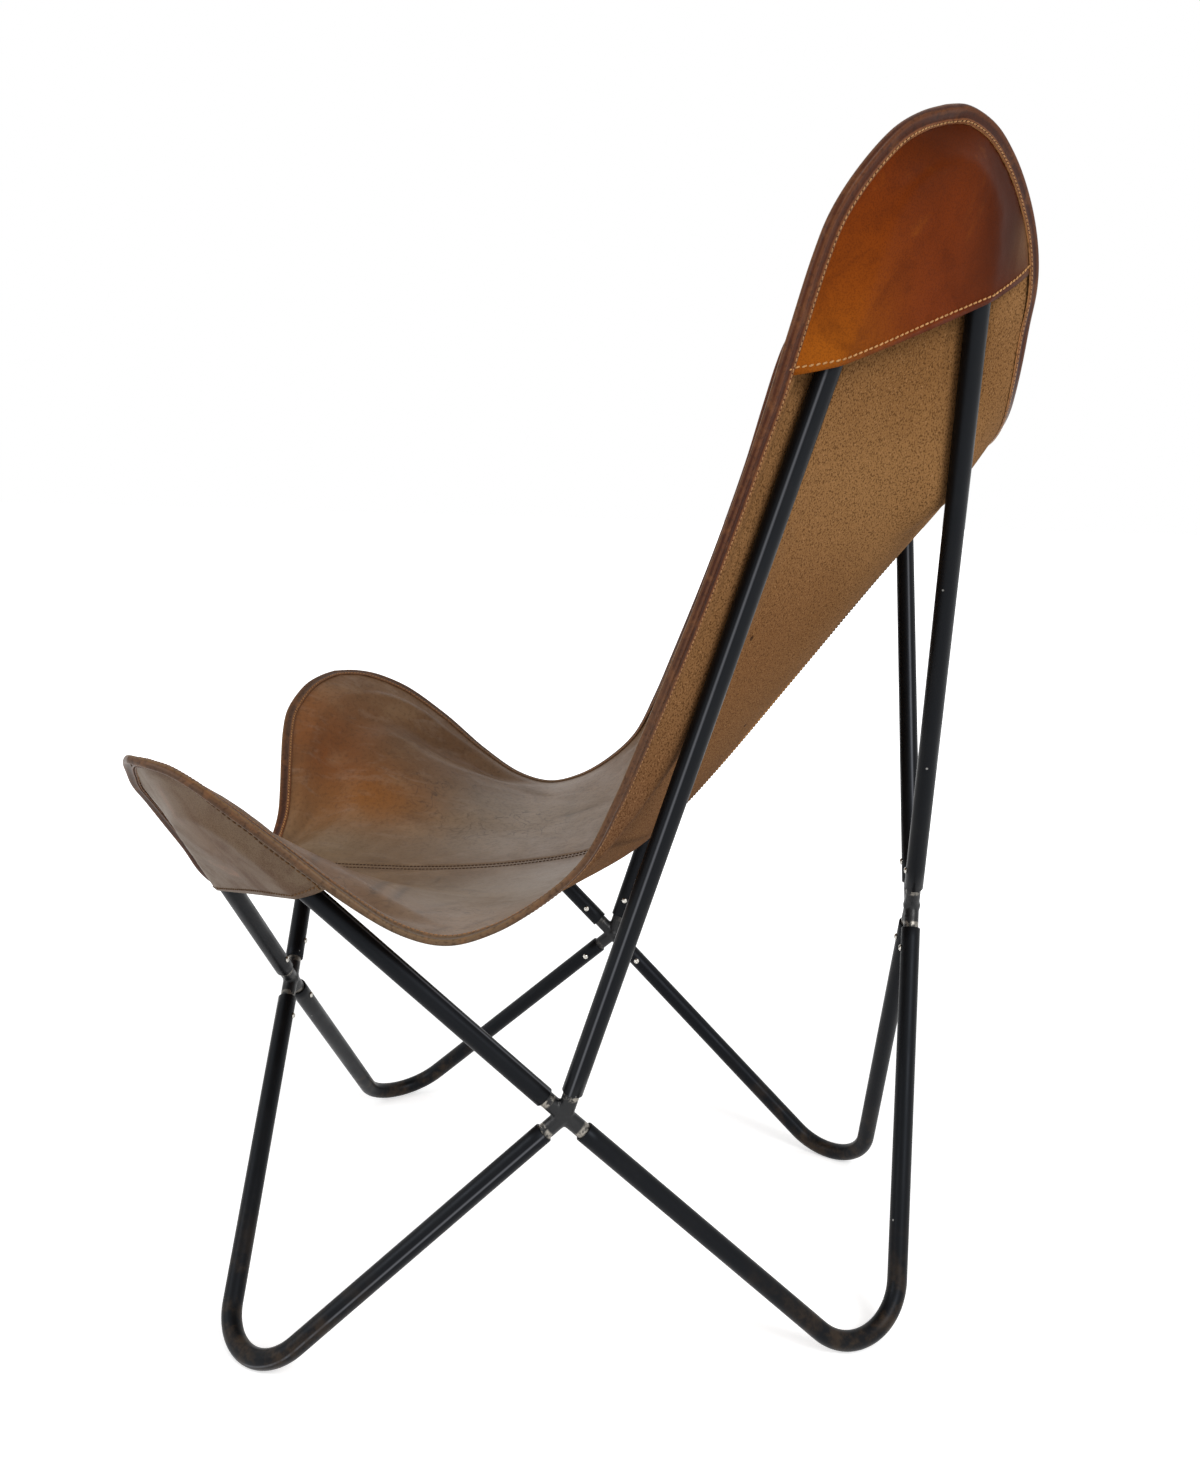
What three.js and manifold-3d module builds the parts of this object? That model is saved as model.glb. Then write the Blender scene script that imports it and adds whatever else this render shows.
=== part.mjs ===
// Butterfly sling chair: a knock-down frame of bent steel tube and a leather sling hung from its four horns.
// Millimetres, Z up, the sitter faces -Y, the floor is Z = 0 and X = 0 is the mirror plane.
import * as THREE from "three";
import Module from "manifold-3d";
import { mergeVertices } from "three/addons/utils/BufferGeometryUtils.js";

// Tube stock and its bends
const TUBE_RADIUS = 8;
const TUBE_WALL = 1.2;
const BEND_RADIUS = 48;
const FRONT_HORN_BEND_RADIUS = 62;
const BACK_HORN_BEND_RADIUS = 54;
const BEND_STEPS = 8;
const TUBE_SIDES = 14;
const FOOT_WEAR_DEPTH = 0.4;

// Where the straight tube runs would meet, for the side at +X
const SIDE_CROSSING = new THREE.Vector3(225, 0, 207);
const FRONT_CROSSING = new THREE.Vector3(0, -278, 219.5);
const REAR_CROSSING = new THREE.Vector3(0, 276, 317.5);
const FRONT_FOOT_CORNER = new THREE.Vector3(272, -255.5, -29);
const BACK_FOOT_CORNER = new THREE.Vector3(167, 261.5, -33.5);
const FRONT_HORN_CORNER = new THREE.Vector3(275.5, -305.5, 489);
const BACK_HORN_CORNER = new THREE.Vector3(327, 257.5, 1058);

// Connectors: spigots that slide into the tube ends
const TUBE_END_GAP = 20;
const SPIGOT_FIT = 0.3;
const SPIGOT_WALL = 1.5;
const SPIGOT_RADIUS = TUBE_RADIUS - TUBE_WALL - SPIGOT_FIT;
const SPIGOT_BORE_RADIUS = SPIGOT_RADIUS - SPIGOT_WALL;
const SPIGOT_REACH = 56;
const SPIGOT_BORE_START = 12;
const WELD_RISE = 0.9;
const WELD_CORE_RADIUS = SPIGOT_RADIUS + WELD_RISE;
const SPIGOT_SIDES = 10;
const WELD_CORE_DETAIL = 1;

// Screws, one through each tube end
const SCREW_DISTANCE = 38;
const SCREW_HEAD_RADIUS = 2.8;
const SCREW_HEAD_HEIGHT = 2;
const SCREW_SHANK_RADIUS = 1.9;
const SCREW_HOLE_RADIUS = 2.2;
const SCREW_LENGTH = 5;
const SCREW_SEAT_GAP = 0.12;
const SCREW_SIDES = 8;

// Leather
const LEATHER_THICKNESS = 2.4;
const LEATHER_GAP = 0.4;
const LAYER_STEP = LEATHER_THICKNESS + LEATHER_GAP;
const SEAM_LAP = 6;
const SEAM_LAP_COLUMNS = 2;
const DEEP_BINDING_COLUMNS = 4;
const POCKET_FIRST_INSET = 8;
const POCKET_SECOND_INSET = 19;
const POCKET_ROOM = 1.65;
const POCKET_RIM_INSET = 0.8;
const POCKET_STEP = LAYER_STEP + 0.3;
const POCKET_SLOPE = 0.16;
const BINDING_WIDTH = 4.6;
const BINDING_CLEARANCE = 0.6;
const BINDING_THICKNESS = 1.2;
const BINDING_NOSE = 1.4;
const TUBE_COVER_GAP = 1.3;
const TUBE_COVER_OFFSET = TUBE_RADIUS + LEATHER_THICKNESS / 2 + TUBE_COVER_GAP;
const POCKET_COVER_GAP = 0.7;
const POCKET_COVER_OFFSET = TUBE_RADIUS + LEATHER_THICKNESS / 2 + POCKET_COVER_GAP;
const TUBE_COVER_FLAT = 14;
const TUBE_COVER_FADE = 24;
// Leather that would float over a tube is drawn down to it: beside the tube, and by height of the float
const TUBE_HUG_FLAT = 10;
const TUBE_HUG_FADE = 45;
const TUBE_HUG_FLOAT = 8;
const TUBE_HUG_LOSS = 26;

// Sling edge for the side at +X, from the middle of the front edge to the horn tip
const FRONT_EDGE = [
  [0, -316, 315],
  [48, -317, 320],
  [80, -319, 332],
  [105, -321, 349],
  [124, -325, 371],
  [147, -331, 396],
  [169, -336, 419],
  [189, -338, 436],
  [208, -334, 450],
  [227, -328, 460],
  [246, -319, 466],
  [261, -310, 469],
];
// from the front horn tip down the side edge and up to the back horn tip
const SIDE_EDGE = [
  [261, -310, 469],
  [273, -293, 469],
  [281, -274, 466],
  [288, -255, 459],
  [294, -235, 448.5],
  [295, -194, 420],
  [290, -152, 387],
  [288, -112, 362],
  [286, -78, 354.5],
  [281, -46, 363.5],
  [275, -14, 384],
  [272, 15, 413.5],
  [276, 35, 455],
  [284, 52, 499],
  [295, 87, 595],
  [307, 120, 698],
  [317, 136, 758],
  [323, 149, 805],
  [326, 157, 827],
  [322, 171.5, 852],
  [311, 192.5, 878],
  [298, 209, 890.5],
  [285, 225.5, 898],
];
// from the back horn tip down to the middle of the top edge
const TOP_EDGE = [
  [285, 225.5, 898],
  [273, 238, 901],
  [252, 258, 896],
  [232, 273, 885],
  [212, 286, 870],
  [190, 298, 850],
  [175, 305, 830],
  [164, 308, 810],
  [153, 308, 789],
  [142, 307, 763],
  [127, 306.5, 743],
  [104, 307.5, 730],
  [62, 308, 719],
  [0, 308, 715],
];
// along the centre seam, from the front edge to the top edge
const CENTRE_LINE = [
  [0, -316, 315],
  [0, -272, 325],
  [0, -220, 326],
  [0, -165, 327],
  [0, -110, 331],
  [0, -60, 338],
  [0, -10, 349],
  [0, 32, 366],
  [0, 66, 394],
  [0, 100, 434],
  [0, 160, 513],
  [0, 224, 598],
  [0, 277, 666],
  [0, 300, 701],
  [0, 308, 715],
];
// How far along the half width or the length each row of the leather grid lies
const ACROSS_SHARES = [
  0, 0.06, 0.13, 0.2, 0.28, 0.36, 0.44, 0.52, 0.6, 0.68, 0.755, 0.82, 0.875, 0.925, 0.967, 1,
];
const ALONG_SHARES = [
  0, 0.011, 0.026, 0.05, 0.08, 0.115, 0.155, 0.2, 0.245, 0.29, 0.335, 0.38, 0.425, 0.47, 0.515, 0.56,
  0.605, 0.65, 0.695, 0.74, 0.78, 0.82, 0.858, 0.892, 0.922, 0.948, 0.97, 0.987, 1,
];
// How far along the sling the shapes of its front and top edge reach
const FRONT_FADE_SHARE = 0.4;
const TOP_FADE_SHARE = 0.4;
// Pockets: where the mouth meets the sling edge, as shares of the edge curves, and how far it sags
const FRONT_POCKET_EDGE_SHARE = 0.25;
const FRONT_POCKET_SIDE_SHARE = 0.195;
const FRONT_POCKET_SAG = 8;
const BACK_POCKET_EDGE_SHARE = 0.55;
const BACK_POCKET_SIDE_SHARE = 0.78;
const BACK_POCKET_SAG = 4;
const POCKET_FIRST_SHARE = 0.12;
const POCKET_SECOND_SHARE = 0.27;
const POCKET_MIDDLE_SHARES = [0.42, 0.58];
const INSET_SEARCH_SHARE = 0.005;

// Accuracy of the geometry work
const MERGE_DISTANCE = 1e-4;
const CURVE_DIVISIONS = 400;
const FOOT_ROUNDS = 12;
const DOME_STEPS = 2;

const wasm = await Module();
wasm.setup();

const STEEL_BLACK = { color: 0x17171a, roughness: 0.42, metalness: 0.35 };
const SCREW_SILVER = { color: 0xc9c9c6, roughness: 0.3, metalness: 0.95 };
const LEATHER_BROWN = { color: 0x6b4a2c, roughness: 0.55, metalness: 0 };
const POCKET_TAN = { color: 0x9a5418, roughness: 0.45, metalness: 0 };
const BINDING_DARK = { color: 0x4a3120, roughness: 0.5, metalness: 0 };

const chair = new THREE.Group();
chair.name = "butterfly_chair";

function addPiece(name, geometry, look) {
  const mesh = new THREE.Mesh(geometry, new THREE.MeshStandardMaterial(look));
  mesh.name = name;
  chair.add(mesh);
}

function mirrored(point) {
  return new THREE.Vector3(-point.x, point.y, point.z);
}

function onSide(point, side) {
  return side > 0 ? point.clone() : mirrored(point);
}

function smoothStep(low, high, value) {
  const share = Math.min(1, Math.max(0, (value - low) / (high - low)));
  return share * share * (3 - 2 * share);
}

// Solids for cutting and joining
function toSolid(geometry) {
  const bare = geometry.clone();
  bare.deleteAttribute("normal");
  bare.deleteAttribute("uv");
  const merged = mergeVertices(bare, MERGE_DISTANCE);
  return new wasm.Manifold(
    new wasm.Mesh({
      numProp: 3,
      vertProperties: new Float32Array(merged.attributes.position.array),
      triVerts: new Uint32Array(merged.index.array),
    }),
  );
}

function toGeometry(solid) {
  const mesh = solid.getMesh();
  const geometry = new THREE.BufferGeometry();
  geometry.setAttribute("position", new THREE.BufferAttribute(mesh.vertProperties, mesh.numProp));
  geometry.setIndex(new THREE.BufferAttribute(mesh.triVerts, 1));
  return geometry;
}

function geometryFrom(points, triangles) {
  const geometry = new THREE.BufferGeometry();
  const values = points.flatMap((point) => [point.x, point.y, point.z]);
  geometry.setAttribute("position", new THREE.Float32BufferAttribute(values, 3));
  geometry.setIndex(triangles.flat());
  geometry.computeVertexNormals();
  return geometry;
}

// A cylinder that runs from one point to another
function rod(from, to, radius, sides) {
  const length = from.distanceTo(to);
  const direction = to.clone().sub(from).normalize();
  const geometry = new THREE.CylinderGeometry(radius, radius, length, sides);
  geometry.applyQuaternion(new THREE.Quaternion().setFromUnitVectors(new THREE.Vector3(0, 1, 0), direction));
  const middle = from.clone().add(to).divideScalar(2);
  geometry.translate(middle.x, middle.y, middle.z);
  return geometry;
}

// Centre line of a V: straight, one round bend, straight
function bentPath(start, corner, end, radius) {
  const toStart = start.clone().sub(corner).normalize();
  const toEnd = end.clone().sub(corner).normalize();
  const halfAngle = toStart.angleTo(toEnd) / 2;
  const bisector = toStart.clone().add(toEnd).normalize();
  const centre = corner.clone().addScaledVector(bisector, radius / Math.sin(halfAngle));
  const tangentLength = radius / Math.tan(halfAngle);
  const first = corner.clone().addScaledVector(toStart, tangentLength).sub(centre);
  const last = corner.clone().addScaledVector(toEnd, tangentLength).sub(centre);
  const sweep = first.angleTo(last);
  const path = [start.clone()];
  for (let step = 0; step <= BEND_STEPS; step += 1) {
    const share = step / BEND_STEPS;
    const point = first
      .clone()
      .multiplyScalar(Math.sin((1 - share) * sweep) / Math.sin(sweep))
      .addScaledVector(last, Math.sin(share * sweep) / Math.sin(sweep));
    path.push(point.add(centre));
  }
  path.push(end.clone());
  return path;
}

function planeNormal(start, corner, end) {
  return new THREE.Vector3().crossVectors(start.clone().sub(corner), end.clone().sub(corner)).normalize();
}

// Ring of points round each station of the path
function tubeRings(path, normal, radius) {
  return path.map((point, index) => {
    const before = path[Math.max(0, index - 1)];
    const after = path[Math.min(path.length - 1, index + 1)];
    const tangent = after.clone().sub(before).normalize();
    if (index === 1) {
      tangent.copy(point).sub(path[0]).normalize();
    }
    if (index === path.length - 2) {
      tangent.copy(path[path.length - 1]).sub(point).normalize();
    }
    const sideways = new THREE.Vector3().crossVectors(normal, tangent).normalize();
    return Array.from({ length: TUBE_SIDES }, (_, side) => {
      const angle = (side * 2 * Math.PI) / TUBE_SIDES;
      return point
        .clone()
        .addScaledVector(sideways, radius * Math.cos(angle))
        .addScaledVector(normal, radius * Math.sin(angle));
    });
  });
}

// A hollow tube with open, square-cut ends
function hollowTube(path, normal) {
  const outer = tubeRings(path, normal, TUBE_RADIUS);
  const inner = tubeRings(path, normal, TUBE_RADIUS - TUBE_WALL);
  const points = [...outer.flat(), ...inner.flat()];
  const innerStart = outer.length * TUBE_SIDES;
  const triangles = [];
  const quad = (a, b, c, d) => triangles.push([a, b, c], [a, c, d]);
  for (let station = 0; station + 1 < path.length; station += 1) {
    for (let side = 0; side < TUBE_SIDES; side += 1) {
      const next = (side + 1) % TUBE_SIDES;
      const here = station * TUBE_SIDES;
      const there = here + TUBE_SIDES;
      quad(here + side, here + next, there + next, there + side);
      const innerHere = innerStart + here;
      const innerThere = innerStart + there;
      quad(innerHere + side, innerThere + side, innerThere + next, innerHere + next);
    }
  }
  const lastRing = (path.length - 1) * TUBE_SIDES;
  for (let side = 0; side < TUBE_SIDES; side += 1) {
    const next = (side + 1) % TUBE_SIDES;
    quad(side, innerStart + side, innerStart + next, next);
    quad(lastRing + side, lastRing + next, innerStart + lastRing + next, innerStart + lastRing + side);
  }
  return geometryFrom(points, triangles);
}

// The corner is lowered until the bend stands on the floor, worn flat by the wear depth
function cornerOnFloor(start, corner, end) {
  const lowered = corner.clone();
  const wanted = TUBE_RADIUS - FOOT_WEAR_DEPTH;
  for (let round = 0; round < FOOT_ROUNDS; round += 1) {
    const lowest = Math.min(...bentPath(start, lowered, end, BEND_RADIUS).map((p) => p.z));
    lowered.z += wanted - lowest;
  }
  return lowered;
}

// Direction of a screw: inwards, square to its tube
function screwAxis(inward, along) {
  return inward.clone().addScaledVector(along, -inward.dot(along)).normalize();
}

function screwPoint(crossing, along) {
  return crossing.clone().addScaledVector(along, SCREW_DISTANCE);
}

function screwHole(crossing, along, inward) {
  const axis = screwAxis(inward, along);
  const centre = screwPoint(crossing, along);
  const reach = TUBE_RADIUS + SCREW_HEAD_HEIGHT;
  return toSolid(rod(centre, centre.clone().addScaledVector(axis, reach), SCREW_HOLE_RADIUS, SCREW_SIDES));
}

function screwGeometry(crossing, along, inward) {
  const seat = TUBE_RADIUS + SCREW_SEAT_GAP;
  const profile = [
    new THREE.Vector2(0, seat - SCREW_LENGTH),
    new THREE.Vector2(SCREW_SHANK_RADIUS, seat - SCREW_LENGTH),
    new THREE.Vector2(SCREW_SHANK_RADIUS, seat),
  ];
  for (let step = 0; step < DOME_STEPS; step += 1) {
    const angle = (step * Math.PI) / 2 / DOME_STEPS;
    profile.push(
      new THREE.Vector2(SCREW_HEAD_RADIUS * Math.cos(angle), seat + SCREW_HEAD_HEIGHT * Math.sin(angle)),
    );
  }
  profile.push(new THREE.Vector2(0, seat + SCREW_HEAD_HEIGHT));
  const geometry = new THREE.LatheGeometry(profile, SCREW_SIDES);
  const axis = screwAxis(inward, along);
  geometry.applyQuaternion(new THREE.Quaternion().setFromUnitVectors(new THREE.Vector3(0, 1, 0), axis));
  const centre = screwPoint(crossing, along);
  geometry.translate(centre.x, centre.y, centre.z);
  return geometry;
}

// A bent tube between two crossings, with its two screw holes
function addTube(name, startCrossing, corner, endCrossing, radius, startInward, endInward, onFloor) {
  const startAlong = corner.clone().sub(startCrossing).normalize();
  const endAlong = corner.clone().sub(endCrossing).normalize();
  const start = startCrossing.clone().addScaledVector(startAlong, TUBE_END_GAP);
  const end = endCrossing.clone().addScaledVector(endAlong, TUBE_END_GAP);
  const path = bentPath(start, corner, end, radius);
  let solid = toSolid(hollowTube(path, planeNormal(start, corner, end)));
  solid = solid.subtract(screwHole(startCrossing, startAlong, startInward));
  solid = solid.subtract(screwHole(endCrossing, endAlong, endInward));
  if (onFloor) {
    solid = solid.trimByPlane([0, 0, 1], 0);
  }
  addPiece(name, toGeometry(solid), STEEL_BLACK);
}

// Four spigots welded into one X
function addConnector(name, crossing, corners, inward) {
  const core = new THREE.IcosahedronGeometry(WELD_CORE_RADIUS, WELD_CORE_DETAIL);
  let solid = toSolid(core.translate(crossing.x, crossing.y, crossing.z));
  const directions = corners.map((corner) => corner.clone().sub(crossing).normalize());
  for (const along of directions) {
    const tip = crossing.clone().addScaledVector(along, SPIGOT_REACH);
    solid = solid.add(toSolid(rod(crossing, tip, SPIGOT_RADIUS, SPIGOT_SIDES)));
  }
  for (const along of directions) {
    const from = crossing.clone().addScaledVector(along, SPIGOT_BORE_START);
    const to = crossing.clone().addScaledVector(along, SPIGOT_REACH + TUBE_WALL);
    solid = solid.subtract(toSolid(rod(from, to, SPIGOT_BORE_RADIUS, SPIGOT_SIDES)));
    solid = solid.subtract(screwHole(crossing, along, inward));
  }
  addPiece(name, toGeometry(solid), STEEL_BLACK);
}

function addScrew(place, index, crossing, corner, inward) {
  const along = corner.clone().sub(crossing).normalize();
  addPiece("screw_" + place + "_" + (index + 1), screwGeometry(crossing, along, inward), SCREW_SILVER);
}

const BACKWARD = new THREE.Vector3(0, 1, 0);
const FORWARD = new THREE.Vector3(0, -1, 0);
const frontFootCorner = cornerOnFloor(FRONT_CROSSING, FRONT_FOOT_CORNER, SIDE_CROSSING);
const backFootCorner = cornerOnFloor(REAR_CROSSING, BACK_FOOT_CORNER, SIDE_CROSSING);

function addFrame() {
  const crossings = [
    ["front", FRONT_CROSSING, BACKWARD, [FRONT_HORN_CORNER, frontFootCorner]],
    ["rear", REAR_CROSSING, FORWARD, [BACK_HORN_CORNER, backFootCorner]],
  ];
  for (const [name, crossing, inward, corners] of crossings) {
    const both = corners.flatMap((corner) => [corner, mirrored(corner)]);
    addConnector("connector_" + name, crossing, both, inward);
    both.forEach((corner, index) => addScrew(name, index, crossing, corner, inward));
  }
  for (const [word, side] of [
    ["right", 1],
    ["left", -1],
  ]) {
    const crossing = onSide(SIDE_CROSSING, side);
    const inward = new THREE.Vector3(-side, 0, 0);
    const frontHorn = onSide(FRONT_HORN_CORNER, side);
    const backHorn = onSide(BACK_HORN_CORNER, side);
    const frontFoot = onSide(frontFootCorner, side);
    const backFoot = onSide(backFootCorner, side);
    const corners = [frontHorn, backHorn, frontFoot, backFoot];
    addConnector("connector_" + word, crossing, corners, inward);
    corners.forEach((corner, index) => addScrew(word, index, crossing, corner, inward));
    const tubes = [
      ["back_horn_", backHorn, REAR_CROSSING, BACK_HORN_BEND_RADIUS, FORWARD, false],
      ["front_horn_", frontHorn, FRONT_CROSSING, FRONT_HORN_BEND_RADIUS, BACKWARD, false],
      ["front_leg_", frontFoot, FRONT_CROSSING, BEND_RADIUS, BACKWARD, true],
      ["back_leg_", backFoot, REAR_CROSSING, BEND_RADIUS, FORWARD, true],
    ];
    for (const [name, corner, end, radius, endInward, onFloor] of tubes) {
      addTube(name + word, crossing, corner, end, radius, inward, endInward, onFloor);
    }
  }
}

// The sling as a smooth sheet between its edge curves and its centre line
function curveThrough(rows) {
  const points = rows.map((row) => new THREE.Vector3(...row));
  const curve = new THREE.CatmullRomCurve3(points, false, "centripetal");
  curve.arcLengthDivisions = CURVE_DIVISIONS;
  return curve;
}
const frontCurve = curveThrough(FRONT_EDGE);
const sideCurve = curveThrough(SIDE_EDGE);
const topCurve = curveThrough([...TOP_EDGE].reverse());
const centreCurve = curveThrough(CENTRE_LINE);

function mix(a, b, share) {
  return a * (1 - share) + b * share;
}

function blendedPoint(across, along) {
  const centre = centreCurve.getPointAt(along);
  const side = sideCurve.getPointAt(along);
  const front = frontCurve.getPointAt(across);
  const top = topCurve.getPointAt(across);
  const [frontMiddle, frontTip] = [frontCurve.getPointAt(0), frontCurve.getPointAt(1)];
  const [topMiddle, topTip] = [topCurve.getPointAt(0), topCurve.getPointAt(1)];
  const nearFront = 1 - smoothStep(0, FRONT_FADE_SHARE, along);
  const nearTop = smoothStep(1 - TOP_FADE_SHARE, 1, along);
  const axisValue = (axis, bow) => {
    const crosswise = mix(centre[axis], side[axis], bow);
    const frontRise = front[axis] - mix(frontMiddle[axis], frontTip[axis], bow);
    const topRise = top[axis] - mix(topMiddle[axis], topTip[axis], bow);
    return crosswise + frontRise * nearFront + topRise * nearTop;
  };
  const dish = across * across;
  return new THREE.Vector3(axisValue("x", across), axisValue("y", dish), axisValue("z", dish));
}

// The horn planes, with the normal towards the sitter
function hornPlane(crossing, corner, otherCrossing, radius, towards) {
  const normal = planeNormal(crossing, corner, otherCrossing);
  if (normal.dot(towards) < 0) {
    normal.negate();
  }
  return { normal, corner, path: bentPath(crossing, corner, otherCrossing, radius) };
}
const SITTER = new THREE.Vector3(0, -50, 500);
const frontHorn = hornPlane(
  SIDE_CROSSING,
  FRONT_HORN_CORNER,
  FRONT_CROSSING,
  FRONT_HORN_BEND_RADIUS,
  SITTER.clone().sub(FRONT_HORN_CORNER),
);
const backHorn = hornPlane(
  SIDE_CROSSING,
  BACK_HORN_CORNER,
  REAR_CROSSING,
  BACK_HORN_BEND_RADIUS,
  SITTER.clone().sub(BACK_HORN_CORNER),
);

function heightOver(horn, point) {
  return point.clone().sub(horn.corner).dot(horn.normal);
}

function distanceToPath(path, point) {
  let nearest = Infinity;
  for (let index = 0; index + 1 < path.length; index += 1) {
    const piece = new THREE.Line3(path[index], path[index + 1]);
    const closest = piece.closestPointToPoint(point, true, new THREE.Vector3());
    nearest = Math.min(nearest, closest.distanceTo(point));
  }
  return nearest;
}

// How far a point belongs to the strip that passes over the tube: 1 over it, 0 well beside it
function coverShare(horn, point) {
  const flat = point.clone().addScaledVector(horn.normal, -heightOver(horn, point));
  const distance = distanceToPath(horn.path, flat);
  return 1 - smoothStep(TUBE_COVER_FLAT, TUBE_COVER_FADE, distance);
}

// How much of its float a point over a tube loses: all of it close to the tube, none where it floats high
function hugShare(horn, point, float) {
  const flat = point.clone().addScaledVector(horn.normal, -heightOver(horn, point));
  const beside = 1 - smoothStep(TUBE_HUG_FLAT, TUBE_HUG_FADE, distanceToPath(horn.path, flat));
  return beside * (1 - smoothStep(TUBE_HUG_FLOAT, TUBE_HUG_LOSS, float));
}

function slingPoint(across, along) {
  const point = blendedPoint(Math.abs(across), along);
  for (const horn of [frontHorn, backHorn]) {
    const lift = TUBE_COVER_OFFSET - heightOver(horn, point);
    const share = lift > 0 ? coverShare(horn, point) : hugShare(horn, point, -lift);
    point.addScaledVector(horn.normal, lift * share);
  }
  return across < 0 ? mirrored(point) : point;
}

function reversed(triangles) {
  return triangles.map(([a, b, c]) => [a, c, b]);
}

// The places round the rim of a grid, from the first corner along the first row
function rimPlaces(tall, wide) {
  const places = [];
  for (let column = 0; column < wide; column += 1) {
    places.push([0, column]);
  }
  for (let row = 1; row < tall; row += 1) {
    places.push([row, wide - 1]);
  }
  for (let column = wide - 2; column >= 0; column -= 1) {
    places.push([tall - 1, column]);
  }
  for (let row = tall - 2; row > 0; row -= 1) {
    places.push([row, 0]);
  }
  return places;
}

// A sheet of even thickness on a grid of middle points; the left side is the mirror image of the right
function sheetSolid(rows, side) {
  const wide = rows[0].length;
  const points = rows.flat();
  const triangles = [];
  for (let row = 0; row + 1 < rows.length; row += 1) {
    for (let column = 0; column + 1 < wide; column += 1) {
      const corner = row * wide + column;
      triangles.push([corner, corner + 1, corner + wide + 1], [corner, corner + wide + 1, corner + wide]);
    }
  }
  if (side < 0) {
    triangles.forEach((face) => face.reverse());
  }
  const middle = geometryFrom(points, triangles);
  const normalAt = (index) => new THREE.Vector3().fromBufferAttribute(middle.attributes.normal, index);
  const normals = points.map((_, index) => normalAt(index));
  const shifted = (height) =>
    points.map((point, index) => point.clone().addScaledVector(normals[index], height));
  const upper = shifted(LEATHER_THICKNESS / 2);
  const lower = shifted(-LEATHER_THICKNESS / 2);
  const count = points.length;
  const rim = rimPlaces(rows.length, wide).map(([row, column]) => row * wide + column);
  const closed = [...triangles, ...reversed(triangles).map((face) => face.map((index) => index + count))];
  rim.forEach((here, index) => {
    const next = rim[(index + 1) % rim.length];
    const wall = [
      [here, here + count, next + count],
      [here, next + count, next],
    ];
    closed.push(...(side < 0 ? reversed(wall) : wall));
  });
  return { geometry: geometryFrom([...upper, ...lower], closed), normals };
}

// Half of the sling, with the strip that laps over the centre line
function slingHalf(side) {
  const lapShare = SEAM_LAP / sideCurve.getPointAt(0.5).x;
  const shares = [-lapShare, ...ACROSS_SHARES];
  return ALONG_SHARES.map((along) => shares.map((across) => onSide(slingPoint(across, along), side)));
}

// The sling edge of the right half as stations: place, sheet normal, direction into the sheet
function edgeStations(rows, normals) {
  const wide = rows[0].length;
  const outer = rimPlaces(rows.length, wide).filter(([, column]) => column > 0);
  const stations = outer.map(([row, column]) => ({
    point: rows[row][column],
    normal: normals[row * wide + column],
    column,
  }));
  const count = stations.length;
  stations.forEach((station, index) => {
    const before = index > 0 ? stations[index - 1].point : mirrored(stations[1].point);
    const after = index + 1 < count ? stations[index + 1].point : mirrored(stations[count - 2].point);
    const along = after.clone().sub(before).normalize();
    station.up = station.normal.clone().addScaledVector(along, -station.normal.dot(along)).normalize();
    station.inward = new THREE.Vector3().crossVectors(station.up, along).normalize();
  });
  return stations;
}

function stationIndex(stations, point) {
  const distances = stations.map((station) => station.point.distanceTo(point));
  return distances.indexOf(Math.min(...distances));
}

// Close to the edge a pocket lies under the sling; further in it drops to the outer side of the tube
function pocketPoint(point, span, horn) {
  const edge = span.map((station) => station.point);
  const inset = distanceToPath(edge, point);
  const nearest = span[stationIndex(span, point)];
  const under = -POCKET_STEP - POCKET_SLOPE * inset - point.clone().sub(nearest.point).dot(nearest.up);
  const pressed = point.clone().addScaledVector(nearest.up, under);
  const dropped = point.clone().addScaledVector(horn.normal, -POCKET_COVER_OFFSET - heightOver(horn, point));
  const made = pressed.lerp(dropped, smoothStep(POCKET_FIRST_INSET, POCKET_SECOND_INSET, inset));
  const missing = POCKET_COVER_OFFSET + heightOver(horn, made);
  return missing > 0 ? made.addScaledVector(horn.normal, -missing * coverShare(horn, made)) : made;
}

// How far along a rung its distance from the sling edge comes to the wanted inset
function shareAtInset(edge, from, to, inset, mostShare) {
  let share = 0;
  while (share < mostShare && distanceToPath(edge, from.clone().lerp(to, share)) < inset) {
    share += INSET_SEARCH_SHARE;
  }
  return Math.min(share, mostShare);
}

// Two columns close to each edge, the others in the middle
function rungShares(edge, from, to) {
  const [first, second, beforeSecond, beforeFirst] = [
    shareAtInset(edge, from, to, POCKET_FIRST_INSET, POCKET_FIRST_SHARE),
    shareAtInset(edge, from, to, POCKET_SECOND_INSET, POCKET_SECOND_SHARE),
    shareAtInset(edge, to, from, POCKET_SECOND_INSET, POCKET_SECOND_SHARE),
    shareAtInset(edge, to, from, POCKET_FIRST_INSET, POCKET_FIRST_SHARE),
  ];
  return [0, first, second, ...POCKET_MIDDLE_SHARES, 1 - beforeSecond, 1 - beforeFirst, 1];
}

// Where a pocket's rim lies under the sling edge
function pocketRim(station) {
  return station.point
    .clone()
    .addScaledVector(station.inward, POCKET_RIM_INSET)
    .addScaledVector(station.up, -POCKET_STEP);
}

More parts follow.
